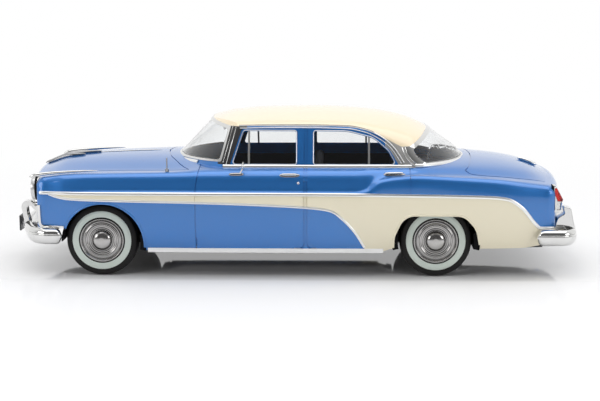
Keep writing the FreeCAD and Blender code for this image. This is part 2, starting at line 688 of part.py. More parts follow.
def make_grille(body_skin):
    raised = body_form(MOULDING_T + 0.3)
    ring = front_prism(nose_mouth(0.0), -140, GRILLE_BACK_X)
    ring = ring.cut(front_prism(nose_mouth(GRILLE_SURROUND_W), -150, -110)).common(raised)
    corner = raised.cut(body_skin).common(side_prism(CORNER_STRIP, 40, 70))
    save("grille_surround", fused([ring, largest(corner), mirrored(largest(corner))]))
    inside = front_prism(nose_mouth(GRILLE_SURROUND_W), -150, -110)
    back = front_prism(nose_mouth(GRILLE_SURROUND_W), GRILLE_BACK_X - 1.0, GRILLE_BACK_X)
    pieces = [back]
    for i in range(GRILLE_TEETH):
        y = (i - (GRILLE_TEETH - 1) / 2) * TOOTH_PITCH
        y0, y1 = y - TOOTH_HALF_W, y + TOOTH_HALF_W
        face_x = nose_face_x(y) - TOOTH_REACH
        tooth = side_prism([(face_x + dx, z, r) for dx, z, r in TOOTH_SIDE], y0, y1)
        rounding = plan_prism([
            (GRILLE_BACK_X - 0.5, y0, 0), (face_x - 0.3, y0, TOOTH_EDGE_R),
            (face_x - 0.3, y1, TOOTH_EDGE_R), (GRILLE_BACK_X - 0.5, y1, 0),
        ], GRILLE_Z0, GRILLE_Z1)
        pieces.append(tooth.common(rounding))
    low, high = BAR_Z - BAR_HALF_H, BAR_Z + BAR_HALF_H
    corners = [(-BAR_Y, low, 0.9), (BAR_Y, low, 0.9), (BAR_Y, high, 0.9), (-BAR_Y, high, 0.9)]
    bar = front_prism(corners, -140, -110).common(body_form(BAR_REACH)).cut(body_form(BAR_REACH - BAR_T))
    pieces.append(largest(bar.common(inside)))
    save("grille", fused(pieces))


def make_headlamps():
    rims, lenses = [], []
    inner_r = HEADLAMP_R - BEZEL_T
    for y in (-HEADLAMP_Y, HEADLAMP_Y):
        front = at(BEZEL_FRONT_X, y, HEADLAMP_Z)
        back = front + V(BEZEL_L, 0, 0)
        floor = back - V(BEZEL_T, 0, 0)
        tube = rod(front, back, HEADLAMP_R)
        front_edge = [e for e in tube.Edges if abs(e.CenterOfMass.x - front.x) < 0.01]
        tube = tube.makeFillet(BEZEL_T * 0.6, front_edge)
        rims.append(tube.cut(rod(front, floor, inner_r)))
        dome = ball(front + V(LENS_DOME_R - LENS_BULGE, 0, 0), LENS_DOME_R)
        lenses.append(rod(front - V(1, 0, 0), floor, inner_r).common(dome))
    save("headlamp_rims", Part.makeCompound(rims))
    save("headlamp_lenses", Part.makeCompound(lenses))


def make_parking_lamps():
    """A lens at each end of the nose's opening, its front following the bow of the nose."""
    top = BAR_Z - BAR_HALF_H - 0.2
    corners = [
        (PARKING_Y0, PARKING_Z0, 1.2), (PARKING_Y1, PARKING_Z0, 1.2), (PARKING_Y1, top, 0.4), (PARKING_Y0, top, 0.4),
    ]
    lamp = front_prism(corners, -140, GRILLE_BACK_X - 1.0)
    save("parking_lamps", pair(largest(lamp.common(body_form(PARKING_REACH)))))


def wrap_path(apex_x, z, side_y, end_x, big_r, corner_r):
    """Path round an end of the car: straight side, corner arc, big arc, and its mirror."""
    way = 1.0 if apex_x < 0 else -1.0
    centre_x = apex_x + way * big_r
    rise = math.sqrt((big_r - corner_r) ** 2 - (side_y - corner_r) ** 2)
    corner_x = centre_x - way * rise
    slope = math.asin((side_y - corner_r) / (big_r - corner_r))

    def on_corner(angle):
        out = corner_r * math.sin(angle)
        return V(corner_x - way * corner_r * math.cos(angle), side_y - corner_r + out, z)

    touch = on_corner(slope)
    half_turn = on_corner((slope + math.pi / 2) / 2)
    flat = on_corner(math.pi / 2)
    end = V(end_x, side_y, z)
    edges = [
        seg(flipped(end), flipped(flat)),
        arc(flipped(flat), flipped(half_turn), flipped(touch)),
        arc(flipped(touch), V(apex_x, 0, z), touch),
        arc(touch, half_turn, flat),
        seg(flat, end),
    ]
    return Part.Wire(edges)


def blade(path, height):
    """Bumper blade: a thin pressed section with a groove along it, carried along a path."""
    start = path.OrderedVertexes[0].Point
    half = height / 2
    points = [V(start.x, start.y - out, start.z + up * half) for up, out in BLADE_SECTION]
    profile = Part.makePolygon(points + [points[0]])
    return path.makePipeShell([profile], True, False)


PLATE_W = 17.0
PLATE_H = 8.5
PLATE_T = 0.8
REAR_PLATE_Z = 27.0
BLADE_H = 8.6
FRONT_BLADE = {"z": 21.8, "y": 51.0, "end": -109.8, "bow": 150.0, "corner": 14.0, "stay_gap": 0.3}
REAR_BLADE = {"z": 21.6, "y": 50.8, "end": 143.6, "bow": 270.0, "corner": 7.0, "stay_gap": 1.3}
BLADE_REACH = 2.6
BLADE_SECTION = [
    # height as a share of the blade's half height, and how far out it lies
    (-1.0, -0.5), (-0.95, 0.4), (-0.8, 1.2), (-0.55, 1.9), (-0.25, 2.4), (0.08, BLADE_REACH), (0.22, 2.45),
    (0.3, 1.9), (0.4, 1.75), (0.5, 2.1), (0.66, 1.9), (0.84, 1.3), (0.96, 0.5), (1.0, -0.5), (0.9, -1.1),
    (0.5, -0.2), (-0.5, -0.2), (-0.9, -1.1),
]
FRONT_GUARD = [
    # x, z, corner radius
    (-139.4, 18.4, 1.5), (-139.9, 25.0, 5), (-137.8, 31.6, 8), (-135.6, 36.2, 2.4), (-131.0, 37.4, 1.6),
    (-129.2, 33.0, 0.6), (-130.6, 32.4, 0.4), (-132.4, 34.8, 1.0), (-134.2, 33.4, 1.4), (-136.0, 28.0, 6),
    (-137.0, 18.4, 0.8),
]
REAR_GUARD = [
    (164.6, 18.6, 0.8), (164.2, 25.6, 3), (161.0, 33.0, 8), (158.9, 37.2, 1.2), (156.0, 37.8, 0.8),
    (157.6, 32.4, 2), (154.4, 29.6, 3), (152.6, 26.6, 0.4), (161.6, 26.0, 0.8), (162.4, 18.6, 0.5),
]
GUARD_Y = 26.0
GUARD_W = 6.0
REAR_GUARD_Y = 40.0
REAR_GUARD_W = 6.6


def blade_back(apex_x, spec, y):
    """Where a blade's back lies at y, less the gap left for a stay."""
    way = 1.0 if apex_x < 0 else -1.0
    return apex_x + way * (spec["bow"] - math.sqrt(spec["bow"] ** 2 - y ** 2) + spec["stay_gap"])


def make_bumpers(body_skin):
    front_apex, rear_apex = FRONT_X + PLATE_T + BLADE_REACH, REAR_X - BLADE_REACH
    blades = []
    for apex_x, spec in ((front_apex, FRONT_BLADE), (rear_apex, REAR_BLADE)):
        path = wrap_path(apex_x, spec["z"], spec["y"], along(spec["end"]), spec["bow"], spec["corner"])
        blades.append(blade(path, BLADE_H))
    front_blade, rear_blade = blades
    save("front_bumper", front_blade)
    save("rear_bumper", rear_blade)
    horn = side_prism(FRONT_GUARD, GUARD_Y - GUARD_W / 2, GUARD_Y + GUARD_W / 2)
    rear_horn = side_prism(REAR_GUARD, REAR_GUARD_Y - REAR_GUARD_W / 2, REAR_GUARD_Y + REAR_GUARD_W / 2)
    guards = [largest(horn.cut(front_blade).cut(body_skin))]
    guards.append(largest(rear_horn.cut(rear_blade).cut(body_skin)))
    save("bumper_guards", Part.makeCompound(guards + [mirrored(g) for g in guards]))
    y0, y1 = FRAME_Y - RAIL_W / 2, FRAME_Y + RAIL_W / 2
    front_end = blade_back(front_apex, FRONT_BLADE, y1)
    front_stay = Part.makeBox(
        along(RAIL_FRONT_X) - front_end, RAIL_W, RAIL_DEPTH - 1.0, V(front_end, y0, HUMP_Z - RAIL_DEPTH))
    rear_end = blade_back(rear_apex, REAR_BLADE, y1)
    rear_start = along(RAIL_REAR_X)
    knee = along(TAIL_X) + 1.6
    side = [
        (rear_start, FLOOR_Z, 0), (knee, FLOOR_Z + 1.4, 0), (rear_end, FLOOR_Z + 4.4, 0),
        (rear_end, FLOOR_Z + 1.6, 0), (knee, FLOOR_Z - 1.6, 0), (rear_start, FLOOR_Z - RAIL_DEPTH, 0),
    ]
    rear_stay = Part.Face(outline(side, lambda u, v: V(u, y0, v))).extrude(V(0, RAIL_W, 0))
    stays = [front_stay, rear_stay]
    save("bumper_brackets", Part.makeCompound(stays + [mirrored(stay) for stay in stays]))


def largest(shape):
    return max(shape.Solids, key=lambda solid: solid.Volume)


def make_plates():
    """Blank plates: one on the front blade's middle, one on the tail."""
    half, t = PLATE_W / 2, PLATE_T
    front = Part.makeBox(t, PLATE_W, PLATE_H, V(FRONT_X, -half, FRONT_BLADE["z"] - PLATE_H / 2 - 1.0))
    rear = Part.makeBox(t, PLATE_W, PLATE_H, V(along(TAIL_X), -half, REAR_PLATE_Z))
    save("number_plates", Part.makeCompound([front, rear]))


TAIL_LAMP_HOUSING = [
    (146.0, 34.6, 0), (146.0, 49.0, 0), (151.6, 48.8, 0.8), (152.4, 46.0, 0), (153.4, 40.4, 0), (153.0, 34.6, 0.8),
]
RED_LENS = [(152.4, 46.0, 0), (151.9, 47.8, 0.4), (155.4, 41.8, 0.6), (155.2, 40.4, 0), (153.4, 40.4, 0)]
CLEAR_LENS = [(153.4, 40.4, 0), (155.2, 40.4, 0), (154.6, 35.8, 0.6), (153.2, 35.6, 0)]
TAIL_LAMP_Y0 = 41.2
TAIL_LAMP_Y1 = 47.6
TAIL_LAMP_RIM = 0.8


def make_tail_lamps(body_skin):
    housing = side_prism(TAIL_LAMP_HOUSING, TAIL_LAMP_Y0, TAIL_LAMP_Y1).cut(body_skin)
    y0, y1 = TAIL_LAMP_Y0 + TAIL_LAMP_RIM, TAIL_LAMP_Y1 - TAIL_LAMP_RIM
    save("tail_lamp_housings", pair(largest(housing)))
    save("tail_lamp_lenses", pair(side_prism(RED_LENS, y0, y1)))
    save("reversing_lamp_lenses", pair(side_prism(CLEAR_LENS, y0, y1)))


WING_SPEAR = [
    (-126.9, 52.4, 0.3), (-126.4, 53.9, 0.5), (-115.0, 55.6, 30), (-97.0, 56.6, 0.2), (-97.0, 54.0, 0),
    (-124.0, 51.0, 0),
]
MASCOT_BODY = [
    (-128.6, 57.4, 0.5), (-122.0, 60.0, 4), (-112.0, 61.6, 6), (-99.0, 62.6, 1), (-99.0, 60.8, 0.3),
    (-112.0, 56.6, 0), (-124.0, 54.0, 0),
]
MASCOT_WINGS = [
    (-123.0, 0, 0), (-109.0, 7.2, 0.5), (-106.0, 7.4, 0.5), (-110.5, 0, 0), (-106.0, -7.4, 0.5), (-109.0, -7.2, 0.5),
]
BOOT_HANDLE = [
    (137.6, 50.0, 0), (137.6, 56.4, 0.6), (141.0, 57.0, 2), (147.6, 53.4, 1.2), (147.4, 50.0, 0.4), (146.0, 48.0, 0),
]


def make_ornaments(body_skin):
    spear = side_prism(WING_SPEAR, 45.8, 47.3)
    save("wing_spears", pair(largest(spear.cut(body_skin))))
    mascot = fused([side_prism(MASCOT_BODY, -1.2, 1.2), plan_prism(MASCOT_WINGS, 59.6, 60.5)])
    save("bonnet_ornament", largest(mascot.cut(body_skin)))
    save("boot_handle", largest(side_prism(BOOT_HANDLE, -1.6, 1.6).cut(body_skin)))


# ---------------------------------------------------------------- small outside fittings


HANDLE_XS = (6.4, 61.0)
HANDLE_L = 11.0
HANDLE_Z0 = 53.9
HANDLE_Z1 = 55.3
LOCK_X = 16.2
LOCK_Z = 51.0
MIRROR_X = -16.4
AERIAL_X = -53.5


def side_at(x, z):
    """How far out the body's side lies at x and height z, from its control points."""
    points = body_control(x)
    for (y0, z0), (y1, z1) in zip(points, points[1:]):
        if z0 <= z <= z1:
            return y0 + (y1 - y0) * (z - z0) / (z1 - z0)
    return points[-1][0]


def make_door_fittings(body_skin):
    handles = []
    for x0 in HANDLE_XS:
        out = side_at(x0 + HANDLE_L / 2, HANDLE_Z0)
        x1 = x0 + HANDLE_L
        grip = side_prism([
            (x0, HANDLE_Z0 + 0.3, 0.4), (x1, HANDLE_Z0, 0.5), (x1, HANDLE_Z1, 0.5), (x0, HANDLE_Z1, 0.4),
        ], out + 0.7, out + 1.6)
        z0, z1 = HANDLE_Z0 + 0.1, HANDLE_Z1 - 0.1
        feet = [box(x, x + 1.8, out - 2.6, out + 0.9, z0, z1) for x in (x0 + 0.6, x1 - 2.6)]
        handles.extend(fused([grip] + feet).cut(body_skin).Solids)
    out = side_at(LOCK_X, LOCK_Z)
    lock = rod(at(LOCK_X, out - 2.0, LOCK_Z), at(LOCK_X, out + 0.6, LOCK_Z), 0.6)
    handles.append(largest(lock.cut(body_skin)))
    both = handles + [mirrored(h) for h in handles]
    save("door_handles", Part.makeCompound(both))
    y = -side_at(MIRROR_X, 55.0)
    foot = rod(at(MIRROR_X, y + 2.4, 53.4), at(MIRROR_X, y + 2.4, 57.4), 2.0)
    stem = rod(at(MIRROR_X, y + 1.6, 56.2), at(MIRROR_X + 3.4, y + 0.6, 59.2), 0.5)
    head = rod(at(MIRROR_X + 2.8, y + 0.4, 60.4), at(MIRROR_X + 4.2, y + 0.4, 60.4), 2.6)
    save("door_mirror", largest(fused([foot, stem, head]).cut(body_skin)))
    base = rod(at(AERIAL_X, -46.5, 54.0), at(AERIAL_X, -46.5, 57.6), 1.0)
    mast = rod(at(AERIAL_X, -46.5, 57.4), at(AERIAL_X, -46.5, 63.4), 0.35)
    save("aerial", largest(fused([base, mast]).cut(body_skin)))


# ---------------------------------------------------------------- cabin inside

TUB_Y = 45.2
TUB_T = 1.2
TUB_X0 = -34.0
TUB_X1 = 76.0
WHEEL_WELL_Y = TYRE_INNER_Y - 1.2
WHEEL_WELL_R = TYRE_R + 1.6


def clear_of_rear_wheels(shape):
    for y0, y1 in ((-60, -WHEEL_WELL_Y), (WHEEL_WELL_Y, 60)):
        shape = shape.cut(rod(at(REAR_AXLE_X, y0, TYRE_R), at(REAR_AXLE_X, y1, TYRE_R), WHEEL_WELL_R))
    return shape


def dash_form(half_width):
    back = TUB_X0 + TUB_T
    return side_prism([
        (back, 38.0, 0), (back, 52.4, 2), (-27.0, 53.4, 2.5), (-25.4, 47.6, 2), (-27.6, 40.0, 2),
    ], -half_width, half_width)


def make_interior():
    """Tub with its floor, door cards and rear shelf, then the seats, dash and wheel in it."""
    low, hump_top = FLOOR_Z + FLOOR_T, HUMP_Z + FLOOR_T
    inner_y = TUB_Y - TUB_T
    tub = box(TUB_X0, TUB_X1, -TUB_Y, TUB_Y, low, CABIN_FOOT)
    room = box(TUB_X0 + TUB_T, TUB_X1 - TUB_T, -inner_y, inner_y, low + TUB_T, CABIN_FOOT)
    hump = box(59.0, TUB_X1, -TUB_Y, TUB_Y, 0, hump_top)
    step = box(59.0 - TUB_T, TUB_X1, -TUB_Y, TUB_Y, low, hump_top + TUB_T).cut(hump)
    back = TUB_X1 - TUB_T
    shelf = plan_prism([
        (back, -44, 0), (back, 44, 0), (92, 40, 8), (107, 12, 12), (107, -12, 12), (92, -40, 8),
    ], CABIN_FOOT - 1.6, CABIN_FOOT).common(body_form(-BODY_WALL, 14.0))
    shell = fused([tub.cut(room).cut(hump), step, shelf])
    save("interior_tub", largest(clear_of_rear_wheels(shell)))
    make_seats(low + TUB_T, hump_top + TUB_T, inner_y - 2.5)
    save("dashboard", dash_form(inner_y))
    make_steering_wheel()
    corners = [(-27.0, 73.6, 0.4), (-27.0, 76.0, 0.4), (-26.0, 76.0, 0.4), (-26.0, 73.6, 0.4)]
    glass = side_prism(corners, -5.0, 5.0)
    arm = rod(at(-26.6, 0, 75.0), at(-29.0, 0, 82.4), 0.5).common(cabin_form(-CABIN_WALL - 0.05))
    save("rear_view_mirror", largest(fused([glass, arm])))


def make_seats(floor_top, step_top, half_width):
    front = side_prism([
        (0, floor_top, 0), (0, 32.0, 3), (21.0, 31.0, 1), (23.5, 56.0, 2), (28.5, 56.0, 2),
        (27.0, floor_top, 0),
    ], -half_width, half_width)
    save("front_seat", front)
    back = TUB_X1 - TUB_T
    step_x = 59.0 - TUB_T
    rear = side_prism([
        (44.0, floor_top, 0), (44.0, 33.0, 3), (63.0, 32.0, 1), (68.0, CABIN_FOOT, 2), (back, CABIN_FOOT, 0),
        (back, step_top, 0), (step_x, step_top, 0), (step_x, floor_top, 0),
    ], -half_width, half_width)
    save("rear_seat", largest(clear_of_rear_wheels(rear)))


def make_steering_wheel():
    hub = at(-15.0, -20.0, 47.0)
    lean = V(math.cos(math.radians(28)), 0, math.sin(math.radians(28)))
    across = V(0, 1, 0)
    rim = Part.makeTorus(9.6, 0.6, hub, lean)
    spokes = rod(hub - across * 9.6, hub + across * 9.6, 0.5)
    boss = rod(hub - lean * 1.2, hub + lean * 0.9, 1.8)
    column = largest(rod(hub - lean * 16.0, hub, 0.8).cut(dash_form(50)))
    save("steering_wheel", fused([rim, boss, spokes, column]))


# ---------------------------------------------------------------- underside

KNUCKLE_Y = WHEEL_Y - 8.5
AXLE_TUBE_Y = WHEEL_Y - 7.9
PIN_END_Y = WHEEL_Y + 2.6
PINION_LENGTH = 9.0
SPRING_Z = TYRE_R - 2.6
SPRING_Y = TYRE_INNER_Y - 9.75
SPRING_W = 3.0
WELL_REACH = TYRE_R + 4.3
SHAFT_Z = 12.2
EXHAUST_Y = -14.0


def floor_profile():
    """Side view of the floor: flat under the cabin and boot, raised over each axle."""
    line = [(-125, HUMP_Z), (-64, HUMP_Z), (-60, FLOOR_Z), (64, FLOOR_Z), (68, HUMP_Z), (110, HUMP_Z),
            (114, FLOOR_Z), (RAIL_REAR_X, FLOOR_Z)]
    top = [(x, z + FLOOR_T) for x, z in reversed(line)]
    return [(x, z, 0) for x, z in line + top]


def make_floor():
    floor = side_prism(floor_profile(), -60, 60).common(body_form(-BODY_WALL, 14.0))
    for axle_x in (FRONT_AXLE_X, REAR_AXLE_X):
        for y0, y1 in ((-60, -WHEEL_WELL_Y), (WHEEL_WELL_Y, 60)):
            corner = at(axle_x, y0, 0) - V(WELL_REACH, 0, 0)
            floor = floor.cut(Part.makeBox(2 * WELL_REACH, y1 - y0, 50, corner))
    for x in SCREW_XS:
        for y in (-SCREW_Y, SCREW_Y):
            floor = floor.cut(rod(at(x, y, FLOOR_Z - 1), at(x, y, FLOOR_Z + FLOOR_T + 1), SCREW_HOLE_R))
    save("floor_pan", largest(floor))


def make_chassis():
    """Two rails, stepped up over the axles, and their cross members, all under the floor."""
    line = [
        (RAIL_FRONT_X, HUMP_Z), (-64.5, HUMP_Z), (-60.5, FLOOR_Z), (64.5, FLOOR_Z), (68.5, HUMP_Z),
        (109.5, HUMP_Z), (113.5, FLOOR_Z), (RAIL_REAR_X, FLOOR_Z),
    ]
    top = [(x, z, 0) for x, z in line]
    bottom = [(x, z - RAIL_DEPTH, 0) for x, z in reversed(line)]
    rail = side_prism(top + bottom, FRAME_Y - RAIL_W / 2, FRAME_Y + RAIL_W / 2)
    pieces = [rail, mirrored(rail)]
    for x in (-20.0, 56.0, 143.0):
        pieces.append(box(x - 2, x + 2, -FRAME_Y, FRAME_Y, FLOOR_Z - 1.6, FLOOR_Z))
    low = HUMP_Z - RAIL_DEPTH
    out = FRAME_Y + RAIL_W / 2
    for y0 in (-out, ENGINE_Y):
        y1 = y0 + out - ENGINE_Y
        pieces.append(box(FRONT_AXLE_X - 3, FRONT_AXLE_X + 3, y0, y1, low - 3.0, low))
    save("chassis_frame", fused(pieces))


def make_rear_axle():
    centre = at(REAR_AXLE_X, 0, TYRE_R)
    end = V(0, 1, 0)
    tube = rod(centre - end * AXLE_TUBE_Y, centre + end * AXLE_TUBE_Y, 2.0)
    pins = rod(centre - end * PIN_END_Y, centre + end * PIN_END_Y, PIN_R)
    casing = ball(centre, 5.4)
    nose = rod(centre - V(PINION_LENGTH, 0, 0), centre, 2.4)
    pads = [
        box(REAR_AXLE_X - 3, REAR_AXLE_X + 3, y, y + SPRING_W, SPRING_Z, TYRE_R)
        for y in (-SPRING_Y - SPRING_W, SPRING_Y)
    ]
    save("rear_axle", fused([tube, pins, casing, nose] + pads))


def make_leaf_springs():
    """A curved leaf each side under the axle's pads, hung from the floor at both ends."""
    front, rear, drop, leaf = 62.0, 115.8, 2.4, 1.1
    end_z = SPRING_Z - drop
    y = SPRING_Y
    top = arc(at(front, y, end_z), at(REAR_AXLE_X, y, SPRING_Z), at(rear, y, end_z))
    bottom = arc(at(rear, y, end_z - leaf), at(REAR_AXLE_X, y, SPRING_Z - leaf), at(front, y, end_z - leaf))
    ends = [seg(at(x, y, end_z), at(x, y, end_z - leaf)) for x in (rear, front)]
    spring = Part.Face(Part.Wire([top, ends[0], bottom, ends[1]])).extrude(V(0, SPRING_W, 0))
    hangers = [
        box(x - 1.2, x + 1.2, y, y + SPRING_W, end_z - leaf, FLOOR_Z) for x in (front + 1.2, rear - 1.2)
    ]
    save("leaf_springs", pair(fused([spring] + hangers)))


def make_propeller_shaft():
    """Shaft below the floor, from the gearbox's tail to the pinion of the rear axle."""
    tail = at(GEARBOX_END_X, 0, SHAFT_Z)
    knee = at(60.0, 0, SHAFT_Z)
    nose = at(REAR_AXLE_X, 0, TYRE_R) - V(PINION_LENGTH + 0.4, 0, 0)
    save("propeller_shaft", fused([rod(tail, knee, 1.2), ball(knee, 1.2), rod(knee, nose, 1.2)]))


def make_engine():
    """Sump and gearbox in one block, the part of the engine that shows from below."""
    block = side_prism([
        (-112, HUMP_Z, 0), (-112, 17.0, 2), (-96, 12.4, 3), (-62, 10.4, 3), (-40, 10.4, 3),
        (GEARBOX_END_X, 10.6, 0), (GEARBOX_END_X, FLOOR_Z, 0), (-60.5, FLOOR_Z, 0), (-64.5, HUMP_Z, 0),
    ], -ENGINE_Y, ENGINE_Y)
    save("engine_and_gearbox", block)


def make_front_suspension():
    """Wishbones from the cross member and rails to the knuckles, whose stubs carry the wheels."""
    low, high = TYRE_R - 4.4, TYRE_R + 4.4
    rail_under = HUMP_Z - RAIL_DEPTH
    rail_out = FRAME_Y + RAIL_W / 2
    axle_x = FRONT_AXLE_X
    upright = rod(at(axle_x, KNUCKLE_Y, low), at(axle_x, KNUCKLE_Y, high), 1.1)
    stub = rod(at(axle_x, KNUCKLE_Y, TYRE_R), at(axle_x, PIN_END_Y, TYRE_R), PIN_R)
    knuckle = fused([upright, stub])
    ball_joint = at(axle_x, KNUCKLE_Y, low + 0.8)
    arms = [rod(at(axle_x + x, FRAME_Y - 1.0, rail_under - 4.2), ball_joint, 0.8) for x in (-4.5, 4.5)]
    pivot = box(
        axle_x - 5.5, axle_x + 5.5, FRAME_Y - 2.4, FRAME_Y + 0.6, rail_under - 5.4, rail_under - 3.0)
    lower = fused([pivot] + arms).cut(knuckle)
    upper = rod(at(axle_x, rail_out, rail_under + 1.7), at(axle_x, KNUCKLE_Y, high - 0.6), 0.8)
    upper = upper.cut(knuckle).cut(box(axle_x - 5, axle_x + 5, 0, rail_out, 0, 50))
    arm_set = [largest(lower), largest(upper)]
    save("wishbones", Part.makeCompound(arm_set + [mirrored(a) for a in arm_set]))
    save("front_knuckles", pair(knuckle))


def make_exhaust_and_tank():
    pipe_z = FLOOR_Z - 1.6 - 1.1
    silencer_r = 3.0
    pipe = rod(at(-58.0, EXHAUST_Y, pipe_z), at(150.0, EXHAUST_Y, pipe_z), 1.1)
    silencer_z = FLOOR_Z - silencer_r
    silencer = rod(at(20.0, EXHAUST_Y, silencer_z), at(50.0, EXHAUST_Y, silencer_z), silencer_r)
    save("exhaust", fused([pipe, silencer]))
    tank = plan_prism([(117, -9, 3), (117, 13, 3), (139, 13, 3), (139, -9, 3)], FLOOR_Z - 4.4, FLOOR_Z)
    save("fuel_tank", tank)


# ---------------------------------------------------------------- wheels


def make_wheel(name, axle_x, side):
    """Tyre of one corner, and its pressed wheel with the cover on; side is -1 left, +1 right."""
    centre = at(axle_x, side * WHEEL_Y, TYRE_R)
    half = TYRE_W / 2
    wall = TYRE_R - RIM_R
    crown = [
        (RIM_R, -half + 1.6), (RIM_R + wall * 0.23, -half + 0.4), (RIM_R + wall * 0.49, -half),
        (RIM_R + wall * 0.8, -half + 0.9), (TYRE_R - wall * 0.04, -half + 2.6), (TYRE_R, -half + 4.0),
    ]
    profile = crown + [(r, -y) for r, y in reversed(crown)]
    tyre = turned(profile, centre)
    bore = PIN_R + PIN_CLEARANCE
    wheel_profile = [
        (bore, -2.4), (2.6, -2.4), (2.6, 0.6), (9.6, 0.6), (9.8, -4.2), (RIM_R, -4.2), (RIM_R, 5.0),
        (10.6, 5.2), (9.1, 4.5), (8.6, 5.1), (6.9, 5.2), (6.4, 4.8), (4.8, 5.1), (3.2, 6.1), (0, 6.4),
        (0, 3.4), (bore, 3.4),
    ]
    wheel = turned([(r, side * y) for r, y in wheel_profile], centre)
    save("tyre_" + name, tyre)
    save("wheel_" + name, wheel)


def main():
    os.makedirs("parts", exist_ok=True)
    body_skin = body_form(SEAT_GAP)
    make_body_and_roof()
    make_glazing(body_skin)
    make_side_trim(body_skin)
    make_grille(body_skin)
    make_headlamps()
    make_parking_lamps()
    make_bumpers(body_skin)
    make_plates()
    make_tail_lamps(body_skin)
    make_ornaments(body_skin)
    make_door_fittings(body_skin)
    make_interior()
    make_floor()
    make_chassis()
    make_rear_axle()
    make_leaf_springs()
    make_propeller_shaft()
    make_engine()
    make_front_suspension()
    make_exhaust_and_tank()
    for axle, axle_x in (("front", FRONT_AXLE_X), ("rear", REAR_AXLE_X)):
        make_wheel(axle + "_left", axle_x, -1)
        make_wheel(axle + "_right", axle_x, 1)


main()
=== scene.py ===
import math

import bmesh
import bpy
import numpy as np
from mathutils import Matrix, Vector
from mathutils.bvhtree import BVHTree


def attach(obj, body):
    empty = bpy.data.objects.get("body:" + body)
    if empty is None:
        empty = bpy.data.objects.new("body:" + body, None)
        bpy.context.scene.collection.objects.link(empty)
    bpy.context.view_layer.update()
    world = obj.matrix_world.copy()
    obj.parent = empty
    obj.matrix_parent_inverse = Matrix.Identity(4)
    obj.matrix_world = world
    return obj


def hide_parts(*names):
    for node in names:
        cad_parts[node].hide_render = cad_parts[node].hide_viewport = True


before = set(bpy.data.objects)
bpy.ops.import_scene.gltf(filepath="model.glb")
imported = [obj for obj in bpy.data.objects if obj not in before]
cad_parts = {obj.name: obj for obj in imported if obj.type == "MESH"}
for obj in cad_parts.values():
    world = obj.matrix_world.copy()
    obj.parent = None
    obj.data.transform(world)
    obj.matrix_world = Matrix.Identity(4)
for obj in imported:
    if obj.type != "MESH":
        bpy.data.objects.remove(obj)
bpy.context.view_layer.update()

# A 1:18 display model of a four-door 1950s saloon. Tables and outlines are in millimetres
# about the middle of the wheelbase, as the car's drawing has them: X to the tail, Y to the
# car's right, Z up. placed() turns them into the frame's metres.

MM = 0.001
ORIGIN_X = 12.55
FRONT_AXLE_X, REAR_AXLE_X = -88.9, 88.9
HUB_Z = 19.2
WHEEL_Y = 42.5
BODY_NAME = "car"
PAST_SIDE = 70  # clear of the body's sides, for what cuts right through them

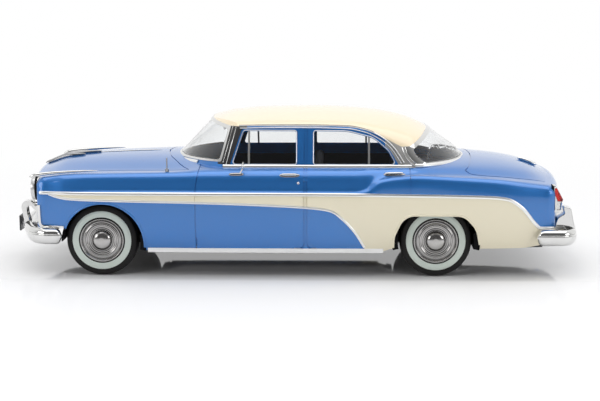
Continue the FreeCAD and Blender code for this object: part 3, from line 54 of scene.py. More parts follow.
# ---------------------------------------------------------------- the body's sections
# Half a section, from the sill up over the side and shoulder to the middle of the bonnet or
# boot. Each row is a station along X with the control points (y, z) of its curve.
BODY_POINTS = ("foot", "low", "side", "waist", "under", "ledge", "tuck", "upper", "shoulder",
               "crest", "inner", "valley", "quarter", "crown")
BODY_ROWS = [
    # x      foot          low           side          waist         under         ledge
    #        tuck          upper         shoulder      crest         inner         valley
    #        quarter       crown (its z is also the middle's)
    (-124.7, (46.0, 20.0), (48.8, 26.0), (50.6, 34.0), (51.0, 41.0), (50.9, 44.4), (50.7, 45.8),
             (50.4, 46.9), (49.9, 49.6), (48.9, 52.2), (46.8, 53.6), (42.5, 53.2), (36.0, 52.8),
             (22.0, 54.0), (9.0, 54.4)),
    (-112.0, (47.6, 17.0), (50.8, 23.0), (52.3, 33.0), (52.8, 41.0), (52.7, 44.4), (52.5, 45.9),
             (52.0, 47.0), (51.5, 50.0), (50.5, 53.2), (48.0, 55.0), (43.8, 54.3), (37.0, 54.2),
             (23.0, 57.3), (10.0, 58.6)),
    (-88.0, (49.0, 15.2), (52.2, 20.4), (53.8, 32.0), (54.3, 41.0), (54.2, 44.4), (53.9, 46.0),
            (52.7, 47.0), (52.3, 50.2), (51.5, 53.7), (49.1, 55.8), (44.5, 55.2), (38.5, 55.4),
            (24.0, 59.2), (10.0, 60.5)),
    (-50.0, (49.6, 13.8), (52.9, 19.2), (54.5, 31.0), (54.9, 41.0), (54.8, 44.4), (54.4, 46.0),
            (53.1, 47.0), (52.8, 50.2), (52.0, 53.8), (49.8, 56.3), (45.6, 56.2), (40.0, 57.0),
            (25.0, 60.6), (10.0, 61.6)),
    (-30.0, (49.8, 13.0), (53.1, 19.0), (54.8, 31.0), (55.1, 41.0), (55.0, 44.4), (54.6, 46.0),
            (53.3, 47.0), (53.0, 50.2), (52.3, 53.9), (50.1, 56.7), (46.2, 57.8), (41.0, 58.4),
            (25.0, 61.0), (10.0, 61.8)),
    (10.0, (49.9, 13.0), (53.2, 19.0), (54.9, 31.0), (55.2, 41.0), (55.1, 44.2), (54.7, 45.9),
           (53.3, 46.9), (53.0, 50.2), (52.3, 53.9), (50.1, 56.8), (46.4, 58.2), (41.0, 59.0),
           (25.0, 61.0), (10.0, 61.6)),
    (46.0, (49.9, 13.0), (53.2, 19.0), (54.9, 31.0), (55.2, 41.0), (55.1, 44.0), (54.7, 45.8),
           (53.3, 46.9), (53.0, 50.2), (52.3, 53.9), (50.1, 56.8), (46.4, 58.2), (41.0, 59.0),
           (25.0, 60.8), (10.0, 61.4)),
    (52.0, (49.9, 13.0), (53.2, 19.0), (54.9, 31.0), (55.2, 41.0), (55.1, 44.4), (54.8, 46.6),
           (53.1, 48.0), (52.2, 51.0), (51.3, 54.4), (49.2, 56.9), (46.4, 58.2), (41.0, 59.0),
           (25.0, 60.8), (10.0, 61.3)),
    (58.0, (49.9, 13.2), (53.2, 19.4), (54.9, 31.0), (55.3, 41.0), (55.2, 47.0), (54.9, 50.4),
           (53.4, 52.2), (51.6, 53.2), (50.2, 54.8), (48.7, 56.7), (46.2, 58.1), (41.0, 59.0),
           (25.0, 60.7), (10.0, 61.2)),
    (66.0, (49.9, 15.4), (53.2, 20.2), (55.0, 31.0), (55.5, 41.0), (55.4, 48.6), (54.9, 52.4),
           (53.2, 54.2), (51.2, 54.2), (49.6, 55.0), (48.2, 56.5), (46.0, 58.0), (41.0, 59.0),
           (25.0, 60.6), (10.0, 61.1)),
    (78.0, (49.7, 15.7), (53.2, 20.4), (55.1, 31.0), (55.6, 41.0), (55.5, 49.2), (54.9, 53.4),
           (53.0, 55.2), (50.8, 54.9), (49.0, 55.2), (47.2, 56.3), (44.6, 57.9), (40.0, 58.8),
           (25.0, 60.2), (10.0, 60.8)),
    (98.0, (49.4, 15.4), (52.9, 20.6), (54.9, 31.0), (55.4, 41.0), (55.2, 48.6), (54.5, 52.6),
           (52.4, 54.4), (49.8, 54.1), (47.2, 54.1), (44.2, 55.1), (40.4, 57.0), (35.0, 58.4),
           (22.0, 59.9), (9.0, 60.4)),
    (120.0, (48.4, 15.4), (51.9, 20.9), (54.0, 31.0), (54.5, 41.0), (54.2, 47.6), (53.4, 51.2),
            (51.2, 53.0), (48.4, 52.9), (45.4, 52.9), (42.0, 53.8), (37.5, 55.6), (31.0, 57.2),
            (19.0, 58.6), (8.0, 59.0)),
    (138.0, (46.8, 15.5), (50.0, 21.8), (52.2, 31.0), (52.8, 41.0), (52.5, 46.0), (51.7, 49.2),
            (49.6, 50.9), (47.0, 51.2), (44.0, 51.3), (40.5, 51.9), (36.0, 53.2), (29.0, 54.8),
            (18.0, 55.8), (7.0, 56.1)),
    (152.4, (44.6, 17.0), (47.4, 23.6), (49.6, 31.0), (50.4, 40.0), (50.2, 44.6), (49.5, 47.4),
            (47.8, 48.9), (45.4, 49.3), (42.5, 49.4), (39.0, 49.5), (34.0, 49.6), (27.0, 49.8),
            (17.0, 50.1), (7.0, 50.2)),
]
# Both ends: the edge's station, how far the face stands past it, the plan's bow (a radius) and
# where the bow starts, and how far the section draws in at the edge, across and upwards.
NOSE = {"edge": -124.7, "reach": 5.0, "bow": 172.0, "start": -96.0, "roll_y": 2.2, "roll_z": 5.0}
TAIL = {"edge": 152.4, "reach": 5.0, "bow": 190.0, "start": 118.0, "roll_y": 3.0, "roll_z": 5.5}
BODY_WALL = 2.0

# Cabin, one row a station along X: side foot, drip line, roof edge and roof top.
CABIN_ROWS = [
    # x  y_foot y_drip z_drip y_edge z_edge z_top
    (-66, 42.0, 36.5, 76.0, 31.0, 77.6, 78.2),
    (-36, 44.2, 37.0, 77.5, 31.0, 79.2, 80.4),
    (-20, 45.4, 37.6, 78.4, 31.5, 81.3, 84.0),
    (0, 45.8, 38.3, 78.9, 32.0, 82.3, 85.6),
    (25, 46.0, 38.8, 79.0, 32.0, 82.6, 86.0),
    (45, 46.0, 38.9, 78.2, 32.0, 81.8, 85.2),
    (60, 45.8, 39.2, 74.8, 32.5, 79.2, 83.6),
    (74, 45.4, 39.8, 69.0, 33.0, 75.0, 80.6),
    (86, 43.8, 37.5, 64.5, 30.5, 70.0, 75.2),
    (98, 39.5, 33.5, 61.0, 27.0, 64.2, 66.8),
    (112, 34.0, 28.0, 55.5, 22.0, 56.8, 57.4),
]
CABIN_FOOT = 53.5
CABIN_PLANS = [
    # z  front_apex front_corner rear_corner rear_apex corner_y
    (50.0, -62.0, -26.3, 77.0, 115.5, 46.0),
    (92.0, -21.9, 13.8, 57.4, 75.6, 46.0),
]
CABIN_WALL = 1.6

# Side views: corners (x, z, corner radius).
ROOF_REGION = [
    (-80, 100, 0), (-80, 90, 0), (-34, 81.2, 0), (-20.4, 79.0, 0), (-15.6, 79.2, 0),
    (40, 79.2, 20), (52, 77.6, 12), (61, 73.6, 8), (70.6, 68.7, 3), (75.4, 68.9, 3),
    (83, 74.0, 10), (89, 77.0, 0), (130, 90, 0), (130, 100, 0),
]
WINDSCREEN_OUT = [(-80, 60.8, 0), (-25.0, 60.8, 1.5), (-20.2, 79.1, 0.4), (-34, 81.3, 0), (-80, 90.2, 0)]
WINDSCREEN_IN = [(-80, 61.8, 0), (-26.0, 61.8, 2.0), (-21.6, 77.4, 1.6), (-35, 80.0, 0), (-80, 88.6, 0)]
REAR_WINDOW_OUT = [
    (81.0, 58.4, 0.8), (76.2, 62.0, 4.0), (73.4, 66.2, 3.0), (72.6, 68.7, 0), (75.4, 68.9, 2),
    (83.2, 74.2, 8), (89, 77.1, 0), (130, 90.2, 0), (130, 58.4, 0),
]
REAR_WINDOW_IN = [
    (83.6, 60.2, 0.8), (79.0, 63.4, 4.0), (76.6, 67.0, 1.2), (84.6, 72.6, 8), (90, 75.2, 0),
    (130, 88.6, 0), (130, 60.2, 0),
]
FRONT_DOOR_OUT = [(-20.4, 59.0, 0.8), (-14.0, 77.8, 1.6), (15.6, 77.8, 0.8), (15.6, 59.0, 0.8)]
FRONT_DOOR_IN = [(-18.6, 59.9, 1.0), (-13.0, 76.8, 1.6), (14.8, 76.8, 1.0), (14.8, 59.9, 1.0)]
REAR_DOOR_OUT = [
    (23.6, 59.0, 0.8), (23.6, 77.8, 0.8), (42.0, 77.6, 30), (56.0, 74.2, 14),
    (64.5, 67.0, 10), (69.4, 59.0, 0.8),
]
REAR_DOOR_IN = [
    (24.4, 59.9, 1.0), (24.4, 76.8, 1.0), (42.0, 76.6, 28), (55.6, 73.2, 12),
    (63.4, 66.6, 9), (67.2, 59.9, 1.0),
]
WINDSCREEN_PILLAR = [(-27, 59.6, 0), (-17, 59.6, 0), (-11, 80.0, 0), (-25, 80.0, 0)]
REAR_QUARTER = [(62, 57.0, 0), (90, 57.0, 0), (90, 75.0, 0), (62, 75.0, 0)]
WINDOW_BARS_X = (-10.2, 53.4)

# Side trim: points (x, z) of the two strips that frame the cream sweep.
UPPER_MOULDING = [(-121, 45.3), (-60, 45.3), (20, 45.2), (80, 44.7), (118, 43.7), (126, 42.6),
                  (133, 38.4), (141.6, 28.4), (143.8, 26.6), (151.0, 26.2)]
LOWER_MOULDING = [
    (-116, 44.7), (-112, 43.4), (-106, 42.4), (-80, 41.6), (-38, 40.8), (0, 39.5),
    (22, 38.2), (33, 36.6), (40, 31.6), (46.2, 24.6), (51, 16.6),
]


# ---------------------------------------------------------------- numbers and curves


def placed(points):
    """Drawing millimetres to the frame's metres."""
    points = np.array(points, float)
    points[..., 0] -= ORIGIN_X
    return points * MM


def drawn(points):
    """The frame's metres to drawing millimetres."""
    points = np.array(points, float) / MM
    points[..., 0] += ORIGIN_X
    return points


def unit(vectors):
    return vectors / np.linalg.norm(vectors, axis=-1, keepdims=True)


def outward(line):
    """Unit directions to the right of an open (u, v) line."""
    along = np.gradient(line, axis=0)
    return unit(np.stack([along[:, 1], -along[:, 0]], -1))


def eased(t):
    """0 to 1, starting and ending gently."""
    t = np.clip(t, 0.0, 1.0)
    return t * t * (3 - 2 * t)


def read_table(stations, values, x):
    """Smooth value at x of a table's column, without overshoot between its rows."""
    stations, values = np.array(stations, float), np.array(values, float)
    gaps = np.diff(stations)
    shape = (-1,) + (1,) * (values.ndim - 1)
    rises = np.diff(values, axis=0) / gaps.reshape(shape)
    slopes = np.zeros_like(values)
    slopes[0], slopes[-1] = rises[0], rises[-1]
    before, after = rises[:-1], rises[1:]
    w1 = (2 * gaps[1:] + gaps[:-1]).reshape(shape)
    w2 = (gaps[1:] + 2 * gaps[:-1]).reshape(shape)
    with np.errstate(divide="ignore", invalid="ignore"):
        blend = (w1 + w2) / (w1 / before + w2 / after)
    slopes[1:-1] = np.where(before * after > 0, blend, 0.0)
    x = np.clip(x, stations[0], stations[-1])
    i = int(np.clip(np.searchsorted(stations, x) - 1, 0, len(gaps) - 1))
    h = gaps[i]
    t = (x - stations[i]) / h
    a, b = values[i], values[i + 1]
    return (a * (1 + 2 * t) * (1 - t) ** 2 + slopes[i] * h * t * (1 - t) ** 2
            + b * t * t * (3 - 2 * t) + slopes[i + 1] * h * t * t * (t - 1))


def spline_weights(count, samples):
    """Weights of a clamped cubic spline with count control points at evenly spread samples."""
    knots = np.concatenate([np.zeros(3), np.linspace(0, 1, count - 2), np.ones(3)])
    at = np.linspace(0, 1 - 1e-12, samples)
    weights = ((knots[:-1] <= at[:, None]) & (at[:, None] < knots[1:])).astype(float)
    for degree in (1, 2, 3):
        grown = np.zeros((samples, weights.shape[1] - 1))
        for i in range(grown.shape[1]):
            left, right = knots[i + degree] - knots[i], knots[i + degree + 1] - knots[i + 1]
            if left > 0:
                grown[:, i] += (at - knots[i]) / left * weights[:, i]
            if right > 0:
                grown[:, i] += (knots[i + degree + 1] - at) / right * weights[:, i + 1]
        weights = grown
    return weights


def smooth_line(points, step=1.0):
    """Points about step apart on a smooth line through the given ones."""
    points = np.array(points, float)
    along = np.concatenate([[0], np.cumsum(np.linalg.norm(np.diff(points, axis=0), axis=1))])
    count = max(int(along[-1] / step), 2)
    return np.array([read_table(along, points, s) for s in np.linspace(0, along[-1], count + 1)])


def even_line(points, step=1.0):
    """Points about step apart on straight runs between the given ones, corners kept."""
    out = [np.array(points[0], float)]
    for a, b in zip(points[:-1], points[1:]):
        a, b = np.array(a, float), np.array(b, float)
        n = max(int(np.linalg.norm(b - a) / step), 1)
        out.extend(a + (b - a) * k / n for k in range(1, n + 1))
    return np.array(out)


def rounded(corners, fine=8):
    """Polygon of a (u, v, radius) outline, each arc in fine steps."""
    out = []
    for i, (u, v, r) in enumerate(corners):
        here = np.array([u, v], float)
        if r == 0:
            out.append(here)
            continue
        before = np.array(corners[i - 1][:2], float) - here
        after = np.array(corners[(i + 1) % len(corners)][:2], float) - here
        before /= np.linalg.norm(before)
        after /= np.linalg.norm(after)
        half = math.acos(np.clip(before @ after, -1, 1)) / 2
        start, end = here + before * r / math.tan(half), here + after * r / math.tan(half)
        inward = (before + after) / np.linalg.norm(before + after)
        centre = here + inward * r / math.sin(half)
        a0 = math.atan2(*(start - centre)[::-1])
        turn = (math.atan2(*(end - centre)[::-1]) - a0 + math.pi) % (2 * math.pi) - math.pi
        for k in range(fine + 1):
            a = a0 + turn * k / fine
            out.append(centre + r * np.array([math.cos(a), math.sin(a)]))
    return np.array(out)


def bulge_arc(a, b, rise, count):
    """Arc points from a to b in the (y, z) plane, standing out by rise to the right of a-b."""
    a, b = np.array(a, float), np.array(b, float)
    chord = b - a
    length = np.linalg.norm(chord)
    out = np.array([chord[1], -chord[0]]) / length
    radius = (length ** 2 / 4 + rise ** 2) / (2 * rise)
    centre = (a + b) / 2 + out * (rise - radius)
    half = math.asin(length / 2 / radius)
    angles = np.linspace(-half, half, count)
    return centre + radius * (np.outer(np.cos(angles), out) + np.outer(np.sin(angles), chord / length))


# ---------------------------------------------------------------- meshes

MOST_SMOOTH_CORNERS = 8


def added(name, data):
    """New object in the scene, holding the data."""
    thing = bpy.data.objects.new(name, data)
    bpy.context.scene.collection.objects.link(thing)
    return thing


def new_piece(name, points, faces, material, sharp=32):
    """Closed mesh piece from drawing points, facing outwards, smooth except over sharp angles."""
    mesh = bpy.data.meshes.new(name)
    mesh.from_pydata(placed(points).tolist(), [], [list(map(int, f)) for f in faces])
    piece = added(name, mesh)
    faced_out(piece)
    finish_faces(piece, material, sharp)
    return piece


def faced_out(piece):
    """Turn every face of a closed piece outwards."""
    work = bmesh.new()
    work.from_mesh(piece.data)
    bmesh.ops.recalc_face_normals(work, faces=work.faces)
    work.to_mesh(piece.data)
    work.free()


def finish_faces(piece, material, sharp=32):
    """Smooth shading, but flat ends and edges sharp over the angle, and one material if given."""
    piece.data.shade_smooth()
    piece.data.set_sharp_from_angle(angle=math.radians(sharp))
    for face in piece.data.polygons:
        if len(face.vertices) > MOST_SMOOTH_CORNERS:
            face.use_smooth = False
    if material is not None:
        piece.data.materials.clear()
        piece.data.materials.append(material)


def joined(name, pieces, material=None, sharp=32):
    """One piece from several; the parts keep their own materials unless one is given."""
    mesh = bpy.data.meshes.new(name)
    work = bmesh.new()
    finishes = []
    for part in pieces:
        start = len(work.faces)
        work.from_mesh(part.data)
        work.faces.ensure_lookup_table()
        own = list(part.data.materials)
        finishes.extend(m for m in own if m not in finishes)
        for face in work.faces[start:]:
            if own:
                face.material_index = finishes.index(own[min(face.material_index, len(own) - 1)])
        bpy.data.objects.remove(part)
    work.to_mesh(mesh)
    work.free()
    piece = added(name, mesh)
    for finish in finishes:
        mesh.materials.append(finish)
    mesh.shade_smooth()
    mesh.set_sharp_from_angle(angle=math.radians(sharp))
    if material is not None:
        finish_faces(piece, material, sharp)
    return piece


def evaluated_mesh(piece):
    """Plain mesh of the piece with its modifier applied."""
    bpy.context.view_layer.update()
    graph = bpy.context.evaluated_depsgraph_get()
    return bpy.data.meshes.new_from_object(piece.evaluated_get(graph), depsgraph=graph)


def applied(piece):
    """The piece with its modifier made part of its mesh."""
    mesh = evaluated_mesh(piece)
    piece.modifiers.clear()
    piece.data = mesh
    return piece


def boolean(piece, other, operation="DIFFERENCE"):
    """piece less or inside other, which is used up."""
    change = piece.modifiers.new("cut", "BOOLEAN")
    change.operation = operation
    change.solver = "MANIFOLD"
    change.object = other
    applied(piece)
    bpy.data.objects.remove(other)
    return piece


def grid_faces(rings, corners, closed=False):
    """Quads between each ring of points and the next; closed joins the last to the first."""
    i, j = np.meshgrid(np.arange(rings if closed else rings - 1), np.arange(corners), indexing="ij")
    here, after = i * corners, (i + 1) % rings * corners
    k = (j + 1) % corners
    return np.stack([here + j, here + k, after + k, after + j], -1).reshape(-1, 4).tolist()


def loft(name, rings, material=None, sharp=32):
    """Closed piece over rings of equal point count, with a fan over each end."""
    rings = np.array(rings, float)
    n, m = rings.shape[:2]
    ends = np.array([rings[0].mean(0), rings[-1].mean(0)])
    first, last = n * m, n * m + 1
    faces = grid_faces(n, m)
    faces += [[first, (a + 1) % m, a] for a in range(m)]
    faces += [[last, (n - 1) * m + a, (n - 1) * m + (a + 1) % m] for a in range(m)]
    return new_piece(name, np.vstack([rings.reshape(-1, 3), ends]), faces, material, sharp)


def prism(polygon, axis, low, high, name="prism", material=None):
    """Outline extruded along one axis. Its two values go to the other two axes in order."""
    polygon = np.array(polygon, float)
    m = len(polygon)
    rings = [np.insert(polygon, axis, level, axis=1) for level in (low, high)]
    faces = [[a, (a + 1) % m, m + (a + 1) % m, m + a] for a in range(m)]
    faces += [list(range(m)), list(range(m, 2 * m))]
    return new_piece(name, np.vstack(rings), faces, material)


def across(corners):
    """Side-view outline as a solid right across the car."""
    return prism(rounded(corners), 1, -PAST_SIDE, PAST_SIDE)


def spun(profile, centre, axis, material, name, steps=48, sharp=32):
    """Closed (radius, offset) profile turned through centre about an axis: 0 is X and 1 is Y."""
    points = []
    for a in (2 * math.pi * s / steps for s in range(steps)):
        for r, offset in profile:
            point = [r * math.cos(a), r * math.sin(a)]
            point.insert(axis, offset)
            points.append(point)
    points = np.array(points) + centre
    return new_piece(name, points, grid_faces(steps, len(profile), True), material, sharp)


def along_path(path, profile, facing, name, material=None, sharp=32):
    """Profile (side, out) carried along a path; facing gives each point's outward direction."""
    path, facing = np.array(path, float), np.array(facing, float)
    along = unit(np.gradient(path, axis=0))
    facing = unit(facing - along * np.sum(facing * along, axis=1)[:, None])
    side = np.cross(along, facing)
    profile = np.array(profile, float)
    if profile.ndim == 2:
        profile = np.repeat(profile[None], len(path), axis=0)
    rings = path[:, None] + side[:, None] * profile[:, :, :1] + facing[:, None] * profile[:, :, 1:]
    return loft(name, rings, material, sharp)


def softened(piece, width, steps=2, angle=50):
    """The piece with its sharp edges rounded over."""
    edge = piece.modifiers.new("edge", "BEVEL")
    edge.width = width * MM
    edge.segments = steps
    edge.limit_method = "ANGLE"
    edge.angle_limit = math.radians(angle)
    return applied(piece)


# ---------------------------------------------------------------- finishes


def feed(node, inputs):
    """Set a node's inputs, by name or number, to values or to other nodes' outputs."""
    for key, value in inputs.items():
        if isinstance(value, bpy.types.NodeSocket):
            node.id_data.links.new(value, node.inputs[key])
        else:
            node.inputs[key].default_value = value


def add_node(tree, kind, inputs=None, **settings):
    """New node of a tree, with its settings and inputs."""
    node = tree.nodes.new(kind)
    for key, value in settings.items():
        setattr(node, key, value)
    feed(node, inputs or {})
    return node


def node_tree(name):
    """New material with its tree and its surface shader."""
    material = bpy.data.materials.new(name)
    material.use_nodes = True
    tree = material.node_tree
    tree.nodes.clear()
    shader = add_node(tree, "ShaderNodeBsdfPrincipled")
    add_node(tree, "ShaderNodeOutputMaterial", {"Surface": shader.outputs["BSDF"]})
    return material, tree, shader


def grain(tree, scale, detail=2.0):
    """Noise 0..1 on the piece's own coordinates; scale is in turns per millimetre."""
    where = add_node(tree, "ShaderNodeTexCoord")
    noise = add_node(tree, "ShaderNodeTexNoise", {
        "Vector": where.outputs["Object"], "Scale": scale / MM, "Detail": detail, "Roughness": 0.5})
    return noise.outputs["Fac"]


def spread(tree, source, low, high, start=0.0, end=1.0, shape="LINEAR"):
    """source's start..end mapped to low..high."""
    ranged = add_node(tree, "ShaderNodeMapRange", {
        "Value": source, "From Min": start, "From Max": end, "To Min": low, "To Max": high,
    }, interpolation_type=shape)
    return ranged.outputs["Result"]


def faded(tree, source, start, end, low=0.0, high=1.0):
    """low where source is at start, passing gently to high at end."""
    return spread(tree, source, low, high, start, end, "SMOOTHSTEP")


def maths(tree, operation, *values):
    return add_node(tree, "ShaderNodeMath", dict(enumerate(values)), operation=operation).outputs[0]


def own_value(tree, name):
    """The piece's own stored attribute."""
    return add_node(tree, "ShaderNodeAttribute", attribute_name=name).outputs["Fac"]


def mixed(tree, factor, a, b):
    """Colour between a and b by factor; a and b are (r, g, b) or another node's output."""
    a, b = (c + (1,) if isinstance(c, tuple) else c for c in (a, b))
    return add_node(tree, "ShaderNodeMix", {0: factor, 6: a, 7: b}, data_type="RGBA").outputs[2]


def bumped(tree, shader, height, strength, distance):
    """Give the shader a bump of a height in millimetres."""
    bump = add_node(tree, "ShaderNodeBump", {
        "Height": height, "Strength": strength, "Distance": distance * MM})
    feed(shader, {"Normal": bump.outputs["Normal"]})


def shade(rgb):
    """Screen colour (0..255) as the shader's linear colour."""
    c = np.array(rgb, float) / 255
    return tuple(np.where(c <= 0.04045, c / 12.92, ((c + 0.055) / 1.055) ** 2.4))


BLUE, BLUE_DEEP = shade((33, 122, 198)), shade((30, 108, 188))
CREAM, CREAM_DEEP = shade((243, 235, 208)), shade((240, 231, 203))
ROOF_CREAM, ROOF_CREAM_DEEP = shade((250, 232, 200)), shade((247, 228, 194))
BLUE_METAL = 0.55


def lacquered(shader, rough, ior=1.5):
    """Clear coat over a paint."""
    feed(shader, {"Coat Weight": 1.0, "Coat Roughness": rough, "Coat IOR": ior})


def metallic_blue(tree, shader):
    """Colour of the blue under its lacquer; the shader gets the flakes' gloss."""
    flakes = grain(tree, 9.0, 1.0)
    feed(shader, {"Roughness": spread(tree, flakes, 0.34, 0.44)})
    lacquered(shader, 0.03, 1.65)
    return mixed(tree, spread(tree, flakes, 0.1, 0.9), BLUE_DEEP, BLUE)


def two_tone_paint():
    """Metallic blue with the cream sweep where the piece's own attribute says so."""
    material, tree, shader = node_tree("two_tone_paint")
    blue = metallic_blue(tree, shader)
    cream = mixed(tree, grain(tree, 0.02), CREAM, CREAM_DEEP)
    in_sweep = maths(tree, "GREATER_THAN", own_value(tree, "sweep"), 0.0)
    feed(shader, {
        "Base Color": mixed(tree, in_sweep, blue, cream),
        "Metallic": maths(tree, "MULTIPLY_ADD", in_sweep, -BLUE_METAL, BLUE_METAL),
    })
    return material


def blue_paint():
    material, tree, shader = node_tree("blue_paint")
    feed(shader, {"Base Color": metallic_blue(tree, shader), "Metallic": BLUE_METAL})
    return material


def roof_paint():
    material, tree, shader = node_tree("roof_paint")
    clouds = grain(tree, 0.03)
    feed(shader, {
        "Base Color": mixed(tree, clouds, ROOF_CREAM, ROOF_CREAM_DEEP),
        "Roughness": spread(tree, clouds, 0.30, 0.36),
    })
    lacquered(shader, 0.04)
    return material


def varied_finish(name, colour, rough, scale, vary, inputs, bump=0.0, push=0.4, detail=3.0):
    """Finish that drifts a little over the piece, in colour by vary and in roughness by rough."""
    material, tree, shader = node_tree(name)
    noise = grain(tree, scale, detail)
    darker = tuple(c * vary for c in colour)
    feed(shader, {
        "Base Color": mixed(tree, noise, darker, colour), "Roughness": spread(tree, noise, *rough), **inputs})
    if bump:
        bumped(tree, shader, noise, push, bump)
    return material


def metal_finish(name, colour, rough_low, rough_high, scale=0.4, bump=0.0):
    rough = (rough_low, rough_high)
    return varied_finish(name, colour, rough, scale, 0.93, {"Metallic": 1.0}, bump, 0.3)


def plastic_finish(name, colour, rough_low, rough_high, scale=1.2, bump=0.02, vary=0.85, glint=0.5):
    rough = (rough_low, rough_high)
    return varied_finish(name, colour, rough, scale, vary, {"Specular IOR Level": glint}, bump)


def clear_finish(name, colour, rough_low, rough_high, ior=1.46, scale=0.3, glint=0.5):
    inputs = {"Transmission Weight": 1.0, "IOR": ior, "Specular IOR Level": glint}
    return varied_finish(name, colour, (rough_low, rough_high), scale, 0.97, inputs, detail=2.0)


def groove_shaded_plating():
    """Plating with painted shade lying in its grooves, where the piece's own attribute says so."""
    material, tree, shader = node_tree("wheel_cover_plating")
    noise = grain(tree, 0.4, 3.0)
    plated = mixed(tree, noise, (0.44, 0.43, 0.42), (0.52, 0.51, 0.50))
    # Painted shade: the plating goes near black in the grooves, by the stored attribute.
    feed(shader, {
        "Base Color": mixed(tree, own_value(tree, "groove_shade"), plated, (0.035, 0.035, 0.036)),
        "Metallic": 1.0, "Roughness": spread(tree, noise, 0.10, 0.18)})
    return material


TWO_TONE = two_tone_paint()
BLUE_PAINT = blue_paint()
ROOF_PAINT = roof_paint()
CHROME = metal_finish("bright_plating", (0.74, 0.74, 0.73), 0.04, 0.10)
WHEEL_CHROME = groove_shaded_plating()
SMOKED = metal_finish("smoked_plating", (0.34, 0.34, 0.35), 0.07, 0.14)
SATIN = metal_finish("satin_aluminium", (0.62, 0.61, 0.60), 0.34, 0.46, scale=2.0, bump=0.02)
TRIM = metal_finish("bright_trim", (0.90, 0.90, 0.89), 0.26, 0.36, scale=1.0)
FINE_TRIM = metal_finish("fine_trim", (0.62, 0.62, 0.62), 0.24, 0.34, scale=1.0)
STEEL = metal_finish("bare_steel", (0.42, 0.42, 0.43), 0.30, 0.48, scale=1.0, bump=0.02)
BLACK = plastic_finish("black_plastic", (0.022, 0.022, 0.024), 0.42, 0.6)
WELL_BLACK = plastic_finish("dark_inside", (0.006, 0.006, 0.007), 0.6, 0.75, glint=0.1)
RUBBER = plastic_finish("tyre_rubber", (0.017, 0.016, 0.016), 0.5, 0.68, scale=2.0, bump=0.03, glint=0.2)
WHITEWALL = plastic_finish(
    "whitewall_rubber", shade((214, 224, 216)), 0.42, 0.55, scale=1.5, bump=0.01, vary=0.97)
NAVY = plastic_finish("navy_plastic", (0.005, 0.007, 0.022), 0.4, 0.55, scale=1.5, glint=0.1)
SEAT_BLUE = plastic_finish(
    "seat_cloth", (0.014, 0.020, 0.050), 0.55, 0.75, scale=2.5, bump=0.04, vary=0.7, glint=0.1)
GLAZING = clear_finish("clear_glazing", (0.985, 0.995, 1.0), 0.0, 0.02, glint=0.2)
LAMP_GLASS = clear_finish("lamp_glass", (0.97, 0.98, 0.98), 0.01, 0.06, ior=1.5, scale=0.6)
RED_LENS = clear_finish("red_lens", shade((226, 40, 36)), 0.04, 0.12, ior=1.49, scale=0.8)
FROSTED = plastic_finish(
    "frosted_lens", shade((226, 224, 214)), 0.2, 0.32, scale=1.5, bump=0.01, vary=0.96)
PLATE = plastic_finish("plate_paint", shade((30, 32, 36)), 0.3, 0.42, scale=0.8, bump=0.01)


# ---------------------------------------------------------------- trim laid along paths


def open_tree(name, inputs):
    """Geometry Nodes group that takes a base mesh and the named inputs, and what it is given."""
    tree = bpy.data.node_groups.new(name, "GeometryNodeTree")
    for label, kind in {"Geometry": "Geometry", **inputs}.items():
        tree.interface.new_socket(label, in_out="INPUT", socket_type="NodeSocket" + kind)
    tree.interface.new_socket("Geometry", in_out="OUTPUT", socket_type="NodeSocketGeometry")
    return tree, add_node(tree, "NodeGroupInput").outputs


def close_tree(tree, geometry, finish):
    """End a group: its instances are made real and get their material."""
    real = add_node(tree, "GeometryNodeRealizeInstances", {"Geometry": geometry})
    paint = add_node(tree, "GeometryNodeSetMaterial", {
        "Geometry": real.outputs["Geometry"], "Material": finish})
    add_node(tree, "NodeGroupOutput", {"Geometry": paint.outputs["Geometry"]})
    return tree


def strip_tree():
    """Rounded strip along edges: each point's facing attribute is the strip's outward side."""
    tree, given = open_tree("strip_along_path", {
        "Width": "Float", "Height": "Float", "Sides": "Int", "Finish": "Material"})
    curve = add_node(tree, "GeometryNodeMeshToCurve", {"Mesh": given["Geometry"]})
    facing = add_node(tree, "GeometryNodeInputNamedAttribute", {"Name": "facing"}, data_type="FLOAT_VECTOR")
    turn = add_node(tree, "GeometryNodeSetCurveNormal", {
        "Curve": curve.outputs["Curve"], "Normal": facing.outputs["Attribute"]}, mode="FREE")
    ring = add_node(tree, "GeometryNodeCurvePrimitiveCircle", {"Resolution": given["Sides"], "Radius": 0.5})
    size = add_node(tree, "ShaderNodeCombineXYZ", {"X": given["Height"], "Y": given["Width"], "Z": 1.0})
    section = add_node(tree, "GeometryNodeTransform", {
        "Geometry": ring.outputs["Curve"], "Scale": size.outputs["Vector"]})
    tube = add_node(tree, "GeometryNodeCurveToMesh", {
        "Curve": turn.outputs["Curve"], "Profile Curve": section.outputs["Geometry"], "Fill Caps": True})
    smooth = add_node(tree, "GeometryNodeSetShadeSmooth", {"Geometry": tube.outputs["Mesh"]})
    return close_tree(tree, smooth.outputs["Geometry"], given["Finish"])


def row_tree():
    """One copy of the Pattern object at each point of the base."""
    tree, given = open_tree("row_of_copies", {"Pattern": "Object", "Size": "Float", "Finish": "Material"})
    pattern = add_node(tree, "GeometryNodeObjectInfo", {"Object": given["Pattern"]})
    spots = add_node(tree, "GeometryNodeMeshToPoints", {"Mesh": given["Geometry"]})
    copies = add_node(tree, "GeometryNodeInstanceOnPoints", {
        "Points": spots.outputs["Points"], "Instance": pattern.outputs["Geometry"], "Scale": given["Size"]})
    return close_tree(tree, copies.outputs["Instances"], given["Finish"])


STRIP_TREE, ROW_TREE = strip_tree(), row_tree()


